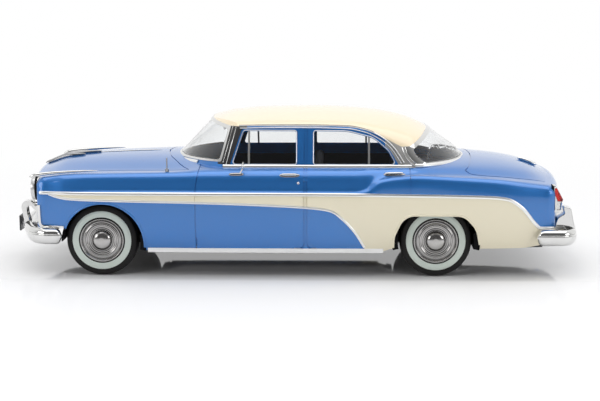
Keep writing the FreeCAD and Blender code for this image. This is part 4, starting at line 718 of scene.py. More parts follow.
def row_of(pattern, steps, name, material):
    """Copies of the pattern piece, moved by each step (drawing millimetres)."""
    mesh = bpy.data.meshes.new(name)
    mesh.from_pydata([(x * MM, y * MM, z * MM) for x, y, z in steps], [], [])
    settings = {"Pattern": pattern, "Size": 1.0, "Finish": material}
    piece = run_tree(added(name + "_spots", mesh), ROW_TREE, settings, name)
    bpy.data.objects.remove(pattern)
    return piece


def run_tree(base, tree, settings, name):
    """Plain mesh piece made by a tree on base, with its inputs set by name."""
    maker = base.modifiers.new("maker", "NODES")
    maker.node_group = tree
    for item in tree.interface.items_tree:
        if item.item_type == "SOCKET" and item.in_out == "INPUT" and item.name in settings:
            maker[item.identifier] = settings[item.name]
    mesh = evaluated_mesh(base)
    bpy.data.objects.remove(base)
    mesh.name = name
    return added(name, mesh)


def strips(name, paths, width, height, material, sides=12):
    """One piece of strips; paths holds (points, facings) pairs in drawing millimetres."""
    points, edges, facings = [], [], []
    for line, facing in paths:
        start = len(points)
        points.extend(line)
        facings.extend(facing)
        edges.extend([start + k, start + k + 1] for k in range(len(line) - 1))
    mesh = bpy.data.meshes.new(name)
    mesh.from_pydata(placed(points).tolist(), edges, [])
    attribute = mesh.attributes.new("facing", "FLOAT_VECTOR", "POINT")
    attribute.data.foreach_set("vector", np.array(facings, np.float32).ravel())
    settings = {"Width": width * MM, "Height": height * MM, "Sides": sides, "Finish": material}
    piece = run_tree(added(name + "_path", mesh), STRIP_TREE, settings, name)
    faced_out(piece)
    finish_faces(piece, material, 50)
    return piece


# ---------------------------------------------------------------- body shell

SECTION_SAMPLES, LENGTH_SAMPLES, ROLL_SAMPLES = 72, 262, 9
CLEAR_SIDE, CLEAR_TOP = 90.0, 120.0
SIDES = (-1.0, 1.0)


def body_control(x, grow=0.0):
    """Control points (y, z) of half a section at station x, grown outwards by grow."""
    stations = [row[0] for row in BODY_ROWS]
    control = read_table(stations, [row[1:] for row in BODY_ROWS], x)
    if grow:
        out = outward(control)
        out[0], out[-1] = (1, 0), (0, 1)
        control = control + out * grow
    return control


SECTION_WEIGHTS = spline_weights(len(BODY_POINTS) + 1, SECTION_SAMPLES)


def half_section(x, grow=0.0):
    """Points (y, z) of half a section, from the sill to the middle of the top."""
    control = body_control(x, grow)
    middle = np.array([[0.0, control[-1, 1]]])
    return SECTION_WEIGHTS @ np.vstack([control, middle])


def body_stations():
    """(x, roll) pairs from nose to tail: roll runs 0 to 1 round each end's edge."""
    rolls = np.sin(np.linspace(0, math.pi / 2, ROLL_SAMPLES))
    front = [(NOSE["edge"], -r) for r in rolls[:0:-1]]
    middle = [(x, 0.0) for x in np.linspace(NOSE["edge"], TAIL["edge"], LENGTH_SAMPLES)]
    return front + middle + [(TAIL["edge"], r) for r in rolls[1:]]


def mirrored_ring(half):
    """Whole ring from its half, whose last point lies on the middle."""
    return np.vstack([half, half[-2::-1] * [1, -1, 1]])


def body_rings(grow=0.0, drop=0.0):
    """The body's cross sections, bowed in plan and rolled over towards both ends."""
    rings = []
    for x, roll in body_stations():
        half = half_section(x, grow)
        end, sign = (NOSE, -1.0) if x < 0 else (TAIL, 1.0)
        if roll:
            inset = 1 - math.sqrt(max(1 - roll * roll, 0.0))
            half = half - outward(half) * inset * np.array([end["roll_y"], end["roll_z"]])
            half[:, 0] = np.maximum(half[:, 0], 0)
        at = x + roll * (end["reach"] + grow)
        near = eased((at - end["start"]) / (end["edge"] - end["start"]))
        half[0, 1] -= drop
        xs = at - sign * near * half[:, 0] ** 2 / (2 * end["bow"])
        rings.append(mirrored_ring(np.insert(half, 0, xs, axis=1)))
    return np.array(rings)


def capped(rings):
    """Rings with each end drawn in to its middle line in a few steps."""
    def cap(ring, end, sign):
        z_mid = (ring[:, 2].min() + ring[:, 2].max()) / 2
        out = []
        for k in (0.75, 0.5, 0.25, 0.02):
            inner = ring.copy()
            inner[:, 1] = ring[:, 1] * k
            inner[:, 2] = z_mid + (ring[:, 2] - z_mid) * k
            inner[:, 0] = ring[:, 0] + sign * (ring[:, 1] ** 2 - inner[:, 1] ** 2) / (2 * end["bow"])
            out.append(inner)
        return out
    return np.array(cap(rings[0], NOSE, -1.0)[::-1] + list(rings) + cap(rings[-1], TAIL, 1.0))


def body_solid(name, grow=0.0, drop=0.0):
    return loft(name, capped(body_rings(grow, drop)), None, 40)


def surface_finder(piece):
    """Function (origin, direction) giving where that ray meets the piece, and its outward side."""
    work = bmesh.new()
    work.from_mesh(piece.data)
    tree = BVHTree.FromBMesh(work)
    work.free()

    def find(origin, direction):
        start = Vector(placed([origin])[0])
        hit, normal = tree.ray_cast(start, Vector(direction))[:2]
        if hit is None:
            hit, normal = tree.find_nearest(start)[:2]
        return drawn(hit), np.array(normal)
    return find


def laid(find, rays, lift=0.0):
    """Drawing points, raised by lift, and facings where (origin, direction) rays meet a surface."""
    met = [find(origin, direction) for origin, direction in rays]
    facings = np.array([normal for _, normal in met])
    return np.array([point for point, _ in met]) + facings * lift, facings


def on_side(find, line, side=-1.0, lift=0.0):
    """Side-view line (x, z) laid on one side of a surface."""
    return laid(find, [((x, side * CLEAR_SIDE, z), (0, -side, 0)) for x, z in line], lift)


def side_paths(find, lines, lift=0.0):
    """Each side-view line on both sides of the car."""
    return [on_side(find, line, side, lift) for line in lines for side in SIDES]


def from_above(find, line, lift=0.0):
    """Plan line (x, y) dropped on a surface."""
    return laid(find, [((x, y, CLEAR_TOP), (0, 0, -1)) for x, y in line], lift)


FRONT_ARCH_MIDDLE, FRONT_ARCH_R = (-87.5, 18.2), 21.4
ARCH_INNER_Y = 36
REAR_ARCH = [
    (66.9, -10, 0), (66.9, 22.5, 9), (72.0, 34.0, 9), (103.2, 33.9, 9), (109.6, 26.6, 12), (112.2, 14.0, 4),
    (112.2, -10, 0),
]


def front_arch_line():
    a = np.linspace(math.radians(192), math.radians(-12), 64)
    return FRONT_ARCH_MIDDLE + FRONT_ARCH_R * np.stack([np.cos(a), np.sin(a)], -1)


def arch_cutters():
    """Solids that open the four wheel arches, from ARCH_INNER_Y out."""
    arc = front_arch_line()
    below = -10
    front = np.vstack([[arc[0][0], below], arc, [arc[-1][0], below]])
    spans = ((-PAST_SIDE, -ARCH_INNER_Y), (ARCH_INNER_Y, PAST_SIDE))
    outlines = (front, rounded(REAR_ARCH, 16))
    return [prism(outline, 1, low, high) for outline in outlines for low, high in spans]


def groove(path, width=0.52, depth=0.6):
    """Thin cutter along a path on a surface, standing a little above it."""
    points, facings = path
    half, above = width / 2, 0.6
    section = [(-half, above), (half, above), (half, -depth), (-half, -depth)]
    return along_path(points, section, facings, "groove")


# Shut lines, as side-view points (x, z) and as plan points (x, y).
FRONT_DOOR_FRONT = [(-36.3, 60.5), (-36.6, 56.0), (-37.6, 51.0), (-38.0, 47.0), (-38.0, 30.0), (-38.0, 13.0)]
B_LINES = [
    [(19.2, 62.0), (19.2, 19.5), (18.6, 17.0), (16.8, 15.8), (14.0, 15.8)],
    [(20.7, 62.0), (20.7, 19.5), (21.3, 17.0), (23.1, 15.8), (26.0, 15.8)],
]
REAR_DOOR_REAR = [(75.0, 60.5), (75.0, 50.0), (75.0, 44.0)]
BONNET_EDGE = [(-119.5, 31.0), (-112.0, 36.5), (-100.0, 39.0), (-80.0, 40.6), (-62.0, 42.6), (-42.0, 44.8)]
BONNET_BACK = [(-42.0, 44.8), (-45.0, 40.0), (-50.0, 30.0), (-55.5, 15.0), (-57.3, 0.0)]
BOOT_FRONT = [(104.5, 40.6), (106.6, 36.0), (108.6, 24.0), (109.8, 12.0), (110.2, 0.0)]
BOOT_EDGE = [(104.5, 40.6), (107.5, 43.6), (114.0, 44.2), (130.0, 42.8), (147.0, 38.4)]


def shut_lines(find):
    """Paths of the doors', the bonnet's and the boot's edges on the body."""
    paths = side_paths(find, [smooth_line(FRONT_DOOR_FRONT)] + [smooth_line(line, 0.6) for line in B_LINES]
                       + [even_line(REAR_DOOR_REAR)])
    for line in (BONNET_EDGE, BONNET_BACK, BOOT_FRONT, BOOT_EDGE):
        half = smooth_line(line, 0.9)
        paths += [from_above(find, half), from_above(find, half * [1, -1])]
    return paths


SWEEP_FROM_Y = 38


def sweep_region():
    """Side-view polygon of the cream paint, its edges along the middles of the mouldings."""
    upper, lower = smooth_line(UPPER_MOULDING), smooth_line(LOWER_MOULDING)
    past_tail = [(160, 26.2), (160, 0), (51.5, 0)]
    return np.vstack([upper, past_tail, lower[::-1]])


def inside_distance(points, polygon):
    """Signed distance of (x, z) points to a polygon's edge, positive inside."""
    best = np.full(len(points), np.inf)
    inside = np.zeros(len(points), bool)
    for p, q in zip(polygon, np.roll(polygon, -1, axis=0)):
        d = q - p
        length = d @ d
        if length < 1e-12:
            continue
        t = np.clip(((points - p) @ d) / length, 0, 1)
        best = np.minimum(best, np.linalg.norm(points - p - t[:, None] * d, axis=1))
        crosses = (p[1] > points[:, 1]) != (q[1] > points[:, 1])
        with np.errstate(divide="ignore", invalid="ignore"):
            at = p[0] + (points[:, 1] - p[1]) * d[0] / d[1]
        inside ^= crosses & (points[:, 0] < at)
    return np.where(inside, best, -best)


def corner_points(piece):
    """A piece's mesh points, as drawing points."""
    co = np.zeros(len(piece.data.vertices) * 3)
    piece.data.vertices.foreach_get("co", co)
    return drawn(co.reshape(-1, 3))


def store_value(piece, name, values):
    """Keep a value at each of the piece's mesh points, for its material."""
    attribute = piece.data.attributes.new(name, "FLOAT", "POINT")
    attribute.data.foreach_set("value", values.astype(np.float32))


def mark_sweep(piece):
    """Store how far inside the cream sweep each point lies; only the sides have it."""
    points = corner_points(piece)
    inside = inside_distance(points[:, [0, 2]], sweep_region())
    store_value(piece, "sweep", np.where(np.abs(points[:, 1]) > SWEEP_FROM_Y, inside, -5.0))


# ---------------------------------------------------------------- cabin form


def cabin_half(x, grow):
    """Half a cross section (y, z) of the cabin, from its foot over the drip line to the middle."""
    rows = [row[0] for row in CABIN_ROWS]
    y_foot, y_drip, z_drip, y_edge, z_edge, z_top = read_table(rows, [row[1:] for row in CABIN_ROWS], x)
    foot = (y_foot + grow, CABIN_FOOT)
    drip = (y_drip + grow, z_drip + grow * 0.3)
    edge = (y_edge + grow * 0.5, z_edge + grow)
    top = z_top + grow
    side = bulge_arc(foot, drip, 0.5, 24)
    shoulder = bulge_arc(drip, edge, 0.7, 12)
    chord, rise = edge[0], top - edge[1]
    radius = (chord ** 2 + rise ** 2) / (2 * rise)
    ys = np.linspace(chord, 0, 26)
    crown = np.stack([ys, top - radius + np.sqrt(radius ** 2 - ys ** 2)], -1)
    return np.vstack([side, shoulder[1:], crown[1:]])


def cabin_solid(name, grow=0.0):
    """Cabin block: cross sections along X, within the plans of windscreen and rear window."""
    stations = np.arange(CABIN_ROWS[0][0], CABIN_ROWS[-1][0] + 0.01, 1.5)
    rings = [mirrored_ring(np.insert(cabin_half(x, grow), 0, x, axis=1)) for x in stations]
    block = loft(name, rings, None, 40)
    levels = []
    for z, front_apex, front_corner, rear_corner, rear_apex, corner_y in CABIN_PLANS:
        front, rear = front_corner - grow, rear_corner + grow
        shares = np.linspace(-1, 1, 65)
        past, aside = 8, corner_y + 8
        levels.append(np.vstack([
            arc_through(front, front_apex - grow, corner_y, shares, z),
            [(front + past, aside, z), (rear - past, aside, z)],
            arc_through(rear, rear_apex + grow, corner_y, -shares, z),
            [(rear - past, -aside, z), (front + past, -aside, z)],
        ]))
    low, high = levels
    steps = 24
    plans = loft("plan", [low + (high - low) * k / steps for k in range(steps + 1)], None, 40)
    return boolean(block, plans, "INTERSECT")


def arc_through(corner_x, apex_x, corner_y, shares, z):
    """Plan arc through both corners and the apex, at shares -1..1 of the corner's y."""
    rise = abs(apex_x - corner_x)
    radius = (corner_y ** 2 + rise ** 2) / (2 * rise)
    way = 1.0 if corner_x > apex_x else -1.0
    ys = shares * corner_y
    xs = apex_x + way * (radius - np.sqrt(radius ** 2 - ys ** 2))
    return np.stack([xs, ys, np.full(len(ys), z)], -1)


def cabin_skin(name, outer, inner):
    """The cabin's form as a wall, between its forms grown by outer and by inner."""
    return boolean(cabin_solid(name, outer), cabin_solid("inner", inner))


def trimmed(piece, keep=None, remove=()):
    """The piece within one side-view outline and without the others."""
    if keep is not None:
        boolean(piece, across(keep), "INTERSECT")
    for outline in remove:
        boolean(piece, across(outline))
    return piece


# ---------------------------------------------------------------- the pieces

GRILLE_Y = 48.0
GRILLE_Z0, GRILLE_Z1, MOUTH_TOP = 27.6, 39.4, 44.6
NOSE_MOUTH = [
    (-GRILLE_Y, GRILLE_Z0, 3.0), (GRILLE_Y, GRILLE_Z0, 3.0), (GRILLE_Y, GRILLE_Z1, 1.5),
    (33.0, GRILLE_Z1, 3.0), (28.5, MOUTH_TOP, 4.0), (-28.5, MOUTH_TOP, 4.0), (-33.0, GRILLE_Z1, 3.0),
    (-GRILLE_Y, GRILLE_Z1, 1.5),
]
HEADLAMPS = [(-125.25, side * 41.0, 46.4) for side in SIDES]
HEADLAMP_R = 6.2


def finished(piece, *nodes, slot, body=BODY_NAME):
    """Hand a piece over: it goes onto what it rides on and the plain nodes that it replaces are hidden; its
    paint slot is not used.
    """
    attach(piece, body)
    if nodes:
        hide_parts(*nodes)
    return piece


def rod_piece(a, b, r, material=None, steps=24):
    """Round rod from a to b."""
    a, b = np.array(a, float), np.array(b, float)
    along = (b - a) / np.linalg.norm(b - a)
    side = np.cross(along, [0, 0, 1] if abs(along[2]) < 0.9 else [1, 0, 0])
    side /= np.linalg.norm(side)
    up = np.cross(side, along)
    angles = np.linspace(0, 2 * math.pi, steps, endpoint=False)
    circle = np.outer(np.cos(angles), side) + np.outer(np.sin(angles), up)
    return loft("rod", [a + circle * r, b + circle * r], material, 40)


def block(x0, x1, y0, y1, z0, z1):
    return prism([(x0, y0), (x1, y0), (x1, y1), (x0, y1)], 2, z0, z1, "block")


def make_body():
    """The painted shell: hollow, open below, at the arches, the mouth, the lamps and the cabin."""
    shell = body_solid("body_shell")
    find = surface_finder(shell)
    grooves = shut_lines(find)
    before_nose, behind_mouth, behind_lamps, under_nose = -140, -117.5, -119.5, 26.2
    boolean(shell, body_solid("hollow", -BODY_WALL, 14.0))
    for cutter in arch_cutters():
        boolean(shell, cutter)
    boolean(shell, block(-150, -107.6, -PAST_SIDE, PAST_SIDE, 0, under_nose))
    boolean(shell, cabin_solid("room", -1.0))
    boolean(shell, prism(rounded(NOSE_MOUTH), 0, before_nose, behind_mouth))
    for _, y, z in HEADLAMPS:
        boolean(shell, rod_piece((before_nose, y, z), (behind_lamps, y, z), HEADLAMP_R, steps=48))
    for path in grooves:
        boolean(shell, groove(path))
    mark_sweep(shell)
    finish_faces(shell, TWO_TONE, 32)
    finished(shell, "body", slot="blue_paint")
    return find


def make_arch_lips(find):
    """Rolled edges standing out round the wheel arches."""
    rear = rounded(REAR_ARCH, 16)
    rear = rear[rear[:, 1] > 15.5]
    front = front_arch_line()
    front = front[(front[:, 1] > 15.8) & ((front[:, 0] > -107.0) | (front[:, 1] > 27.0))]
    lines = [front + (front - FRONT_ARCH_MIDDLE) * 0.03, even_line(rear + (rear - [89.0, 16.0]) * 0.022)]
    lips = strips("arch_lips", side_paths(find, lines), 1.2, 0.9, TWO_TONE, 8)
    mark_sweep(lips)
    finished(lips, slot="blue_paint")


def offset_line(corners, amount, step=0.8):
    """Closed outline as an even line, moved out from its middle by amount."""
    line = rounded(corners, 6)
    after = np.roll(line, -1, axis=0)
    tangent = unit(unit(line - np.roll(line, 1, axis=0)) + unit(after - line))
    out = np.stack([tangent[:, 1], -tangent[:, 0]], -1)
    area = np.sum(line[:, 0] * after[:, 1] - line[:, 1] * after[:, 0])
    moved = line + out * (amount if area > 0 else -amount)
    return even_line(np.vstack([moved, moved[:2]]), step)


def round_cabin(find, middle_x, z, start, end):
    """Path at height z round one end of the cabin, between two angles from the tail direction."""
    angles = np.radians(np.linspace(start, end, 90))
    outs = [np.array([math.cos(a), math.sin(a), 0.0]) for a in angles]
    return laid(find, [(np.array([middle_x, 0.0, z]) + out * CLEAR_SIDE, -out) for out in outs])


def cabin_piece(name, outer, inner, material, keep, remove=()):
    """Wall of the cabin's form between two growths, trimmed in side view, with its finish."""
    piece = trimmed(cabin_skin(name, outer, inner), keep, remove)
    finish_faces(piece, material)
    return piece


def make_pillars(find, openings):
    pillars = trimmed(cabin_skin("window_pillars", 0.0, -CABIN_WALL), None,
                      openings + [WINDSCREEN_PILLAR, REAR_QUARTER])
    for x in (line[0][0] for line in B_LINES):
        for path in side_paths(find, [even_line([(x, 56.0), (x, 79.5)])]):
            boolean(pillars, groove(path, 0.36, 0.5))
    finish_faces(pillars, BLUE_PAINT)
    finished(pillars, slot="blue_paint")
    # The windscreen posts are black as painted shade.
    for name, keep, material, slot in (("windscreen_posts", WINDSCREEN_PILLAR, BLACK, "black_plastic"),
                                       ("rear_quarters", REAR_QUARTER, SATIN, "bare_steel")):
        finished(cabin_piece(name, 0.0, -CABIN_WALL, material, keep, openings), slot=slot)


def make_screens():
    """Windscreen and rear window: a bright surround and a pane each."""
    for node, outer, inner, door in (("windscreen", WINDSCREEN_OUT, WINDSCREEN_IN, FRONT_DOOR_OUT),
                                     ("rear_window", REAR_WINDOW_OUT, REAR_WINDOW_IN, REAR_DOOR_OUT)):
        rim = cabin_piece(node + "_surround", 0.45, -CABIN_WALL, CHROME, outer, [inner, door])
        finished(rim, node + "_frame", slot="bright_plating")
        pane = cabin_piece(node + "_pane", -0.3, -1.1, GLAZING, inner)
        finished(pane, node, slot="clear_glazing")


def make_door_windows(find):
    """The doors' window frames, upright bars, fine inner edges and panes."""
    frames, panes, outlines = [], [], []
    for outer, inner, bar_x in ((FRONT_DOOR_OUT, FRONT_DOOR_IN, WINDOW_BARS_X[0]),
                                (REAR_DOOR_OUT, REAR_DOOR_IN, WINDOW_BARS_X[1])):
        surround = cabin_piece("surround", 0.2, -1.1, BLUE_PAINT, outer, [inner])
        left, right = bar_x - 0.5, bar_x + 0.5
        upright = [(left, 58.5, 0), (right, 58.5, 0), (right, 78, 0), (left, 78, 0)]
        bar = trimmed(trimmed(cabin_skin("bar", 0.3, -1.1), upright), inner)
        finish_faces(bar, TRIM)
        frames += [surround, bar]
        outlines.append(offset_line(inner, 0.35))
        panes.append(trimmed(cabin_skin("pane", -0.3, -0.9), inner))
    frames.append(strips("opening_edges", side_paths(find, outlines, 0.15), 0.5, 0.5, FINE_TRIM, 8))
    finished(joined("door_window_trim", frames), "door_window_frames", slot="bright_plating")
    finished(joined("door_glass", panes, GLAZING), "door_windows", slot="clear_glazing")


def make_cabin():
    openings = [WINDSCREEN_OUT, REAR_WINDOW_OUT, FRONT_DOOR_OUT, REAR_DOOR_OUT]
    form = cabin_solid("whole_cabin")
    find = surface_finder(form)
    bpy.data.objects.remove(form)
    make_pillars(find, [ROOF_REGION] + openings)
    roof = cabin_piece("roof_panel", 0.0, -CABIN_WALL, ROOF_PAINT, ROOF_REGION, openings)
    finished(roof, "roof", slot="cream_paint")
    make_screens()
    make_door_windows(find)
    return find


DRIP_LINE = [
    (-15.6, 79.3), (0, 79.6), (20, 79.7), (42, 79.2), (52, 77.4), (61, 73.2), (66.6, 68.4), (72.0, 60.6),
]
DRIP_SHADOW = [
    (-15.2, 78.2), (0, 78.5), (20, 78.6), (41.4, 78.1), (51.2, 76.3), (59.8, 72.3), (65.4, 67.7),
    (70.6, 60.2),
]
POST_LINES = [[(-24.0, 60.6), (-18.9, 79.2)], [(-22.4, 59.2), (-17.2, 79.0)]]
SILL_SECTION = [(-1.35, -0.6), (-1.3, 0.5), (-1.05, 0.75), (1.05, 0.75), (1.3, 0.5), (1.35, -0.6)]
SILL_Z, BELT_Z = 14.5, 58.5
QUARTER_LINES = [
    [(72.6, 68.4), (73.6, 65.6), (76.2, 61.8), (80.6, 58.6)],
    [(71.0, 68.4), (72.0, 65.2), (74.4, 61.4), (77.4, 58.8)],
]


def make_side_trim(body_find, cabin_find):
    """Mouldings along the sides, the sills and the belt, the drip rails and the window posts' lines."""
    runs = [strips("side_run", side_paths(body_find, [smooth_line(line)]), width, 1.1, TRIM)
            for line, width in ((UPPER_MOULDING, 1.85), (LOWER_MOULDING, 1.35))]
    finished(joined("side_strips", runs), "side_mouldings", slot="bright_plating")
    sills = side_paths(body_find, [even_line([(-64.0, SILL_Z), (61.0, SILL_Z)], 2.0)])
    sills = [along_path(points, SILL_SECTION, facings * [1, 1, 0], "sill") for points, facings in sills]
    finished(joined("sill_strips", sills, TRIM), "sill_mouldings", slot="bright_plating")
    belt = side_paths(cabin_find, [even_line([(-24.0, BELT_Z), (76.0, BELT_Z)], 1.5)])
    belt.append(round_cabin(cabin_find, 62.0, 58.9, -70, 70))
    belt.append(round_cabin(cabin_find, -20.0, 59.6, 118, 242))
    finished(strips("belt_strips", belt, 2.2, 1.4, TRIM), "belt_mouldings", slot="bright_plating")
    drips = side_paths(cabin_find, [smooth_line(DRIP_LINE)])
    finished(strips("drip_strips", drips, 0.9, 1.6, CHROME), "drip_rails", slot="bright_plating")
    fine = [smooth_line(line, 0.8) for line in POST_LINES + QUARTER_LINES] + [smooth_line(DRIP_SHADOW)]
    posts = strips("post_strips", side_paths(cabin_find, fine), 0.6, 0.8, CHROME, 8)
    finished(posts, slot="bright_plating")


# ---------------------------------------------------------------- wheels

# Tyre, radius and offset from its middle to the outside, from the rim to the tread's middle.
TYRE_PROFILE = [
    (11.0, -4.2), (12.0, -5.35), (12.4, -5.45), (12.7, -5.38), (14.0, -5.66), (15.5, -5.63), (15.75, -5.50),
    (16.0, -5.54), (17.6, -5.3), (18.4, -4.95), (18.9, -4.2), (19.05, -3.0), (18.75, -2.9), (18.75, -2.6),
    (19.1, -2.5), (19.16, -1.6), (18.8, -1.5), (18.8, -1.2), (19.18, -1.1), (19.2, -0.2), (18.8, -0.15),
]
WHITEWALL_R = (12.4, 15.7)
# Wheel cover, radius and offset: its back, then its face from the rim in.
COVER_BACK = [
    (0.03, 3.4), (1.06, 3.4), (1.06, -2.4), (2.6, -2.4), (2.6, 0.6), (9.6, 0.6), (9.8, -4.2), (11.2, -4.3),
    (11.9, -4.3), (12.1, 4.6),
]
COVER_RADII = [12.05, 11.75, 11.3, 10.9, 10.5, 9.6, 8.6, 7.4, 6.4, 5.6, 5.0, 4.8, 4.4, 3.6, 2.5, 1.3, 0.03]
COVER_HEIGHTS = [5.2, 5.65, 5.72, 5.3, 4.95, 5.05, 5.3, 5.0, 4.9, 5.0, 4.8, 5.2, 5.85, 6.35, 6.7, 6.88, 6.92]
RINGS_R = (5.1, 10.5)
RING_PITCH = 0.92
RING_DEPTH = 0.05
COVER_GROOVES = [
    # radius, half width, darkness of its painted shade
    (11.75, 0.22, 0.95), (10.4, 0.4, 0.95), (9.5, 0.14, 0.5), (8.75, 0.2, 0.9), (7.8, 0.16, 0.7),
    (6.9, 0.18, 0.7), (6.0, 0.35, 0.75), (5.05, 0.24, 0.95),
]


def cover_profile():
    """Radius and height across the cover: a rolled rim, fine rings and a dome."""
    radii = np.linspace(COVER_RADII[0], COVER_RADII[-1], 150)
    rows = range(len(COVER_RADII))
    places = np.interp(-radii, [-r for r in COVER_RADII], rows)
    heights = np.array([read_table(rows, COVER_HEIGHTS, place) for place in places])
    ringed = (radii > RINGS_R[0]) & (radii < RINGS_R[1])
    heights = heights + np.where(ringed, RING_DEPTH * np.cos(radii / RING_PITCH * 2 * math.pi), 0)
    return COVER_BACK + list(zip(radii.tolist(), heights.tolist()))


def mark_grooves(piece, centre):
    """Store how much painted shade each point of a wheel cover gets in its grooves, from its radius."""
    points = corner_points(piece)
    r = np.hypot(points[:, 0] - centre[0], points[:, 2] - centre[2])
    groove_shade = np.zeros(len(r))
    for middle, width, darkness in COVER_GROOVES:
        groove_shade = np.maximum(groove_shade, darkness * np.exp(-((r - middle) / width) ** 2))
    store_value(piece, "groove_shade", groove_shade)


def make_wheel(axle, side_name):
    """One wheel: a tyre with its white wall outside, and a cover that also is the disc behind it."""
    side = -1.0 if side_name == "left" else 1.0
    centre = (FRONT_AXLE_X if axle == "front" else REAR_AXLE_X, side * WHEEL_Y, HUB_Z)
    place = "%s_%s" % (axle, side_name)
    body = place + "_wheel"
    profile = [(r, side * -y) for r, y in TYRE_PROFILE] + [(r, side * y) for r, y in reversed(TYRE_PROFILE)]
    tyre = spun(profile, centre, 1, RUBBER, "tyre_%s_rubber" % place, 144, 28)
    tyre.data.materials.append(WHITEWALL)
    for face in tyre.data.polygons:
        x, y, z = drawn(face.center)
        r = math.hypot(x - centre[0], z - centre[2])
        if WHITEWALL_R[0] < r < WHITEWALL_R[1] and (y - centre[1]) * side > 4.5:
            face.material_index = 1
    finished(tyre, "tyre_" + place, slot="tyre", body=body)
    profile = [(r, side * y) for r, y in cover_profile()]
    cover = spun(profile, centre, 1, WHEEL_CHROME, "wheel_%s_cover" % place, 96, 50)
    # The grooves' painted shade, stored for the cover's plating.
    mark_grooves(cover, centre)
    finished(cover, "wheel_" + place, slot="bright_plating", body=body)


# ---------------------------------------------------------------- bumpers and guards


def wrap_line(apex_x, z, side_y, end_x, big_r, corner_r, step=1.2):
    """Plan path round an end of the car, left to right, with its outward directions."""
    way = 1.0 if apex_x < 0 else -1.0
    centre_x = apex_x + way * big_r
    flat_y = side_y - corner_r
    corner_x = centre_x - way * math.sqrt((big_r - corner_r) ** 2 - flat_y ** 2)
    slope = math.asin(flat_y / (big_r - corner_r))
    left = [(x, -side_y, 0.0, -1.0) for x in np.arange(end_x, corner_x, -way * step)]
    for a in np.linspace(math.pi / 2, slope, 16):
        out_x, out_y = -way * math.cos(a), math.sin(a)
        left.append((corner_x + corner_r * out_x, -(flat_y + corner_r * out_y), out_x, -out_y))
    reach = big_r * math.sin(slope)
    middle = []
    for y in np.linspace(-reach, reach, 72)[1:-1]:
        out_x = -way * math.sqrt(1 - (y / big_r) ** 2)
        middle.append((centre_x - way * math.sqrt(big_r ** 2 - y ** 2), y, out_x, y / big_r))
    right = [(x, -y, out_x, -out_y) for x, y, out_x, out_y in reversed(left)]
    rows = np.array(left + middle + right)
    return np.insert(rows[:, :2], 2, z, axis=1), np.insert(rows[:, 2:], 2, 0.0, axis=1)


# Bumper blade's section: height and stand-out, round its front and back along its inside.
BLADE_PROFILE = [
    (-4.3, -0.8), (-4.2, 0.0), (-3.6, 0.9), (-2.6, 1.7), (-1.2, 2.3), (0.2, 2.5), (0.9, 2.45), (1.15, 1.9),
    (1.45, 1.75), (1.75, 1.9), (2.1, 2.2), (2.9, 2.0), (3.6, 1.4), (4.2, 0.5), (4.4, -0.4), (4.1, -1.2),
    (2.4, -0.2), (-2.4, -0.4), (-4.0, -1.3),
]
BLADE_TIP = 3.2


def blade_piece(name, node, apex_x, z, side_y, end_x, bow, corner):
    """Bumper blade wrapped round an end of the car, rounded off over BLADE_TIP at both ends."""
    points, facings = wrap_line(apex_x, z, side_y, end_x, bow, corner)
    up = 1.0 if apex_x < 0 else -1.0
    travelled = np.concatenate([[0], np.cumsum(np.linalg.norm(np.diff(points, axis=0), axis=1))])
    near = np.minimum(np.minimum(travelled, travelled[-1] - travelled) / BLADE_TIP, 1.0)
    size = np.sqrt(np.maximum(1 - (1 - near) ** 2, 0.02))
    sizes = np.stack([size * up, 0.35 + 0.65 * size], -1)
    piece = along_path(points, np.array(BLADE_PROFILE) * sizes[:, None], facings, name, CHROME, 40)
    return finished(piece, node, slot="bright_plating")


FRONT_GUARD = [
    (-134.2, 22.6, 0.6), (-135.4, 29.5, 3), (-136.1, 33.6, 3), (-135.4, 36.4, 2.0), (-131.0, 37.4, 1.6),
    (-127.4, 33.0, 0.6), (-128.4, 31.8, 0.4), (-131.4, 34.8, 1.0), (-133.2, 33.6, 1.2), (-133.0, 30.0, 2),
    (-131.0, 22.6, 0.6),
]
REAR_GUARD = [
    (163.4, 22.0, 0.6), (162.8, 26.0, 2.0), (160.6, 36.4, 1.2), (156.4, 37.2, 0.8), (157.4, 33.4, 1.0),
    (153.7, 31.0, 1.5), (151.6, 24.4, 0.4), (158.0, 22.0, 0.6),
]


def make_bumpers():
    """Both blades, the arms of the front plate and the four upright guards."""
    blade_piece("front_bumper_blade", "front_bumper", apex_x=-136.2, z=21.8, side_y=51.0, end_x=-109.8,
                bow=110.0, corner=12.0)
    arms = [block(-141.7, -136.6, y - 1.0, y + 1.0, 19.4, 22.0) for y in (-5.0, 5.0)]
    bracket = joined("front_plate_bracket", arms, STEEL)
    finished(softened(bracket, 0.3, 2), slot="bare_steel")
    blade_piece("rear_bumper_blade", "rear_bumper", apex_x=164.9, z=21.6, side_y=50.8, end_x=141.9,
                bow=270.0, corner=7.0)
    guards = []
    for outline, middle, width in ((FRONT_GUARD, 26.0, 6.0), (REAR_GUARD, 40.0, 6.6)):
        for side in SIDES:
            low, high = side * middle - width / 2, side * middle + width / 2
            guards.append(softened(prism(rounded(outline), 1, low, high, "guard"), 0.7, 3))
    finished(joined("bumper_guard_set", guards, CHROME, 40), "bumper_guards", slot="bright_plating")


# ---------------------------------------------------------------- nose and tail fittings

NOSE_FACE_X, NOSE_FACE_BOW = -129.7, 172.0
CORNER_STRIP = [
    (-122.5, 38.6, 0), (-122.5, 26.2, 2.4), (-108.5, 26.2, 0), (-108.5, 27.5, 0), (-121.0, 27.5, 1.4),
    (-121.0, 38.6, 0),
]
BAR_SECTION = [(-1.3, -1), (-1.1, 0.5), (-0.5, 1.1), (0.5, 1.1), (1.1, 0.5), (1.3, -1)]
TEETH, TOOTH_PITCH, TOOTH_HALF = 9, 6.6, 1.7


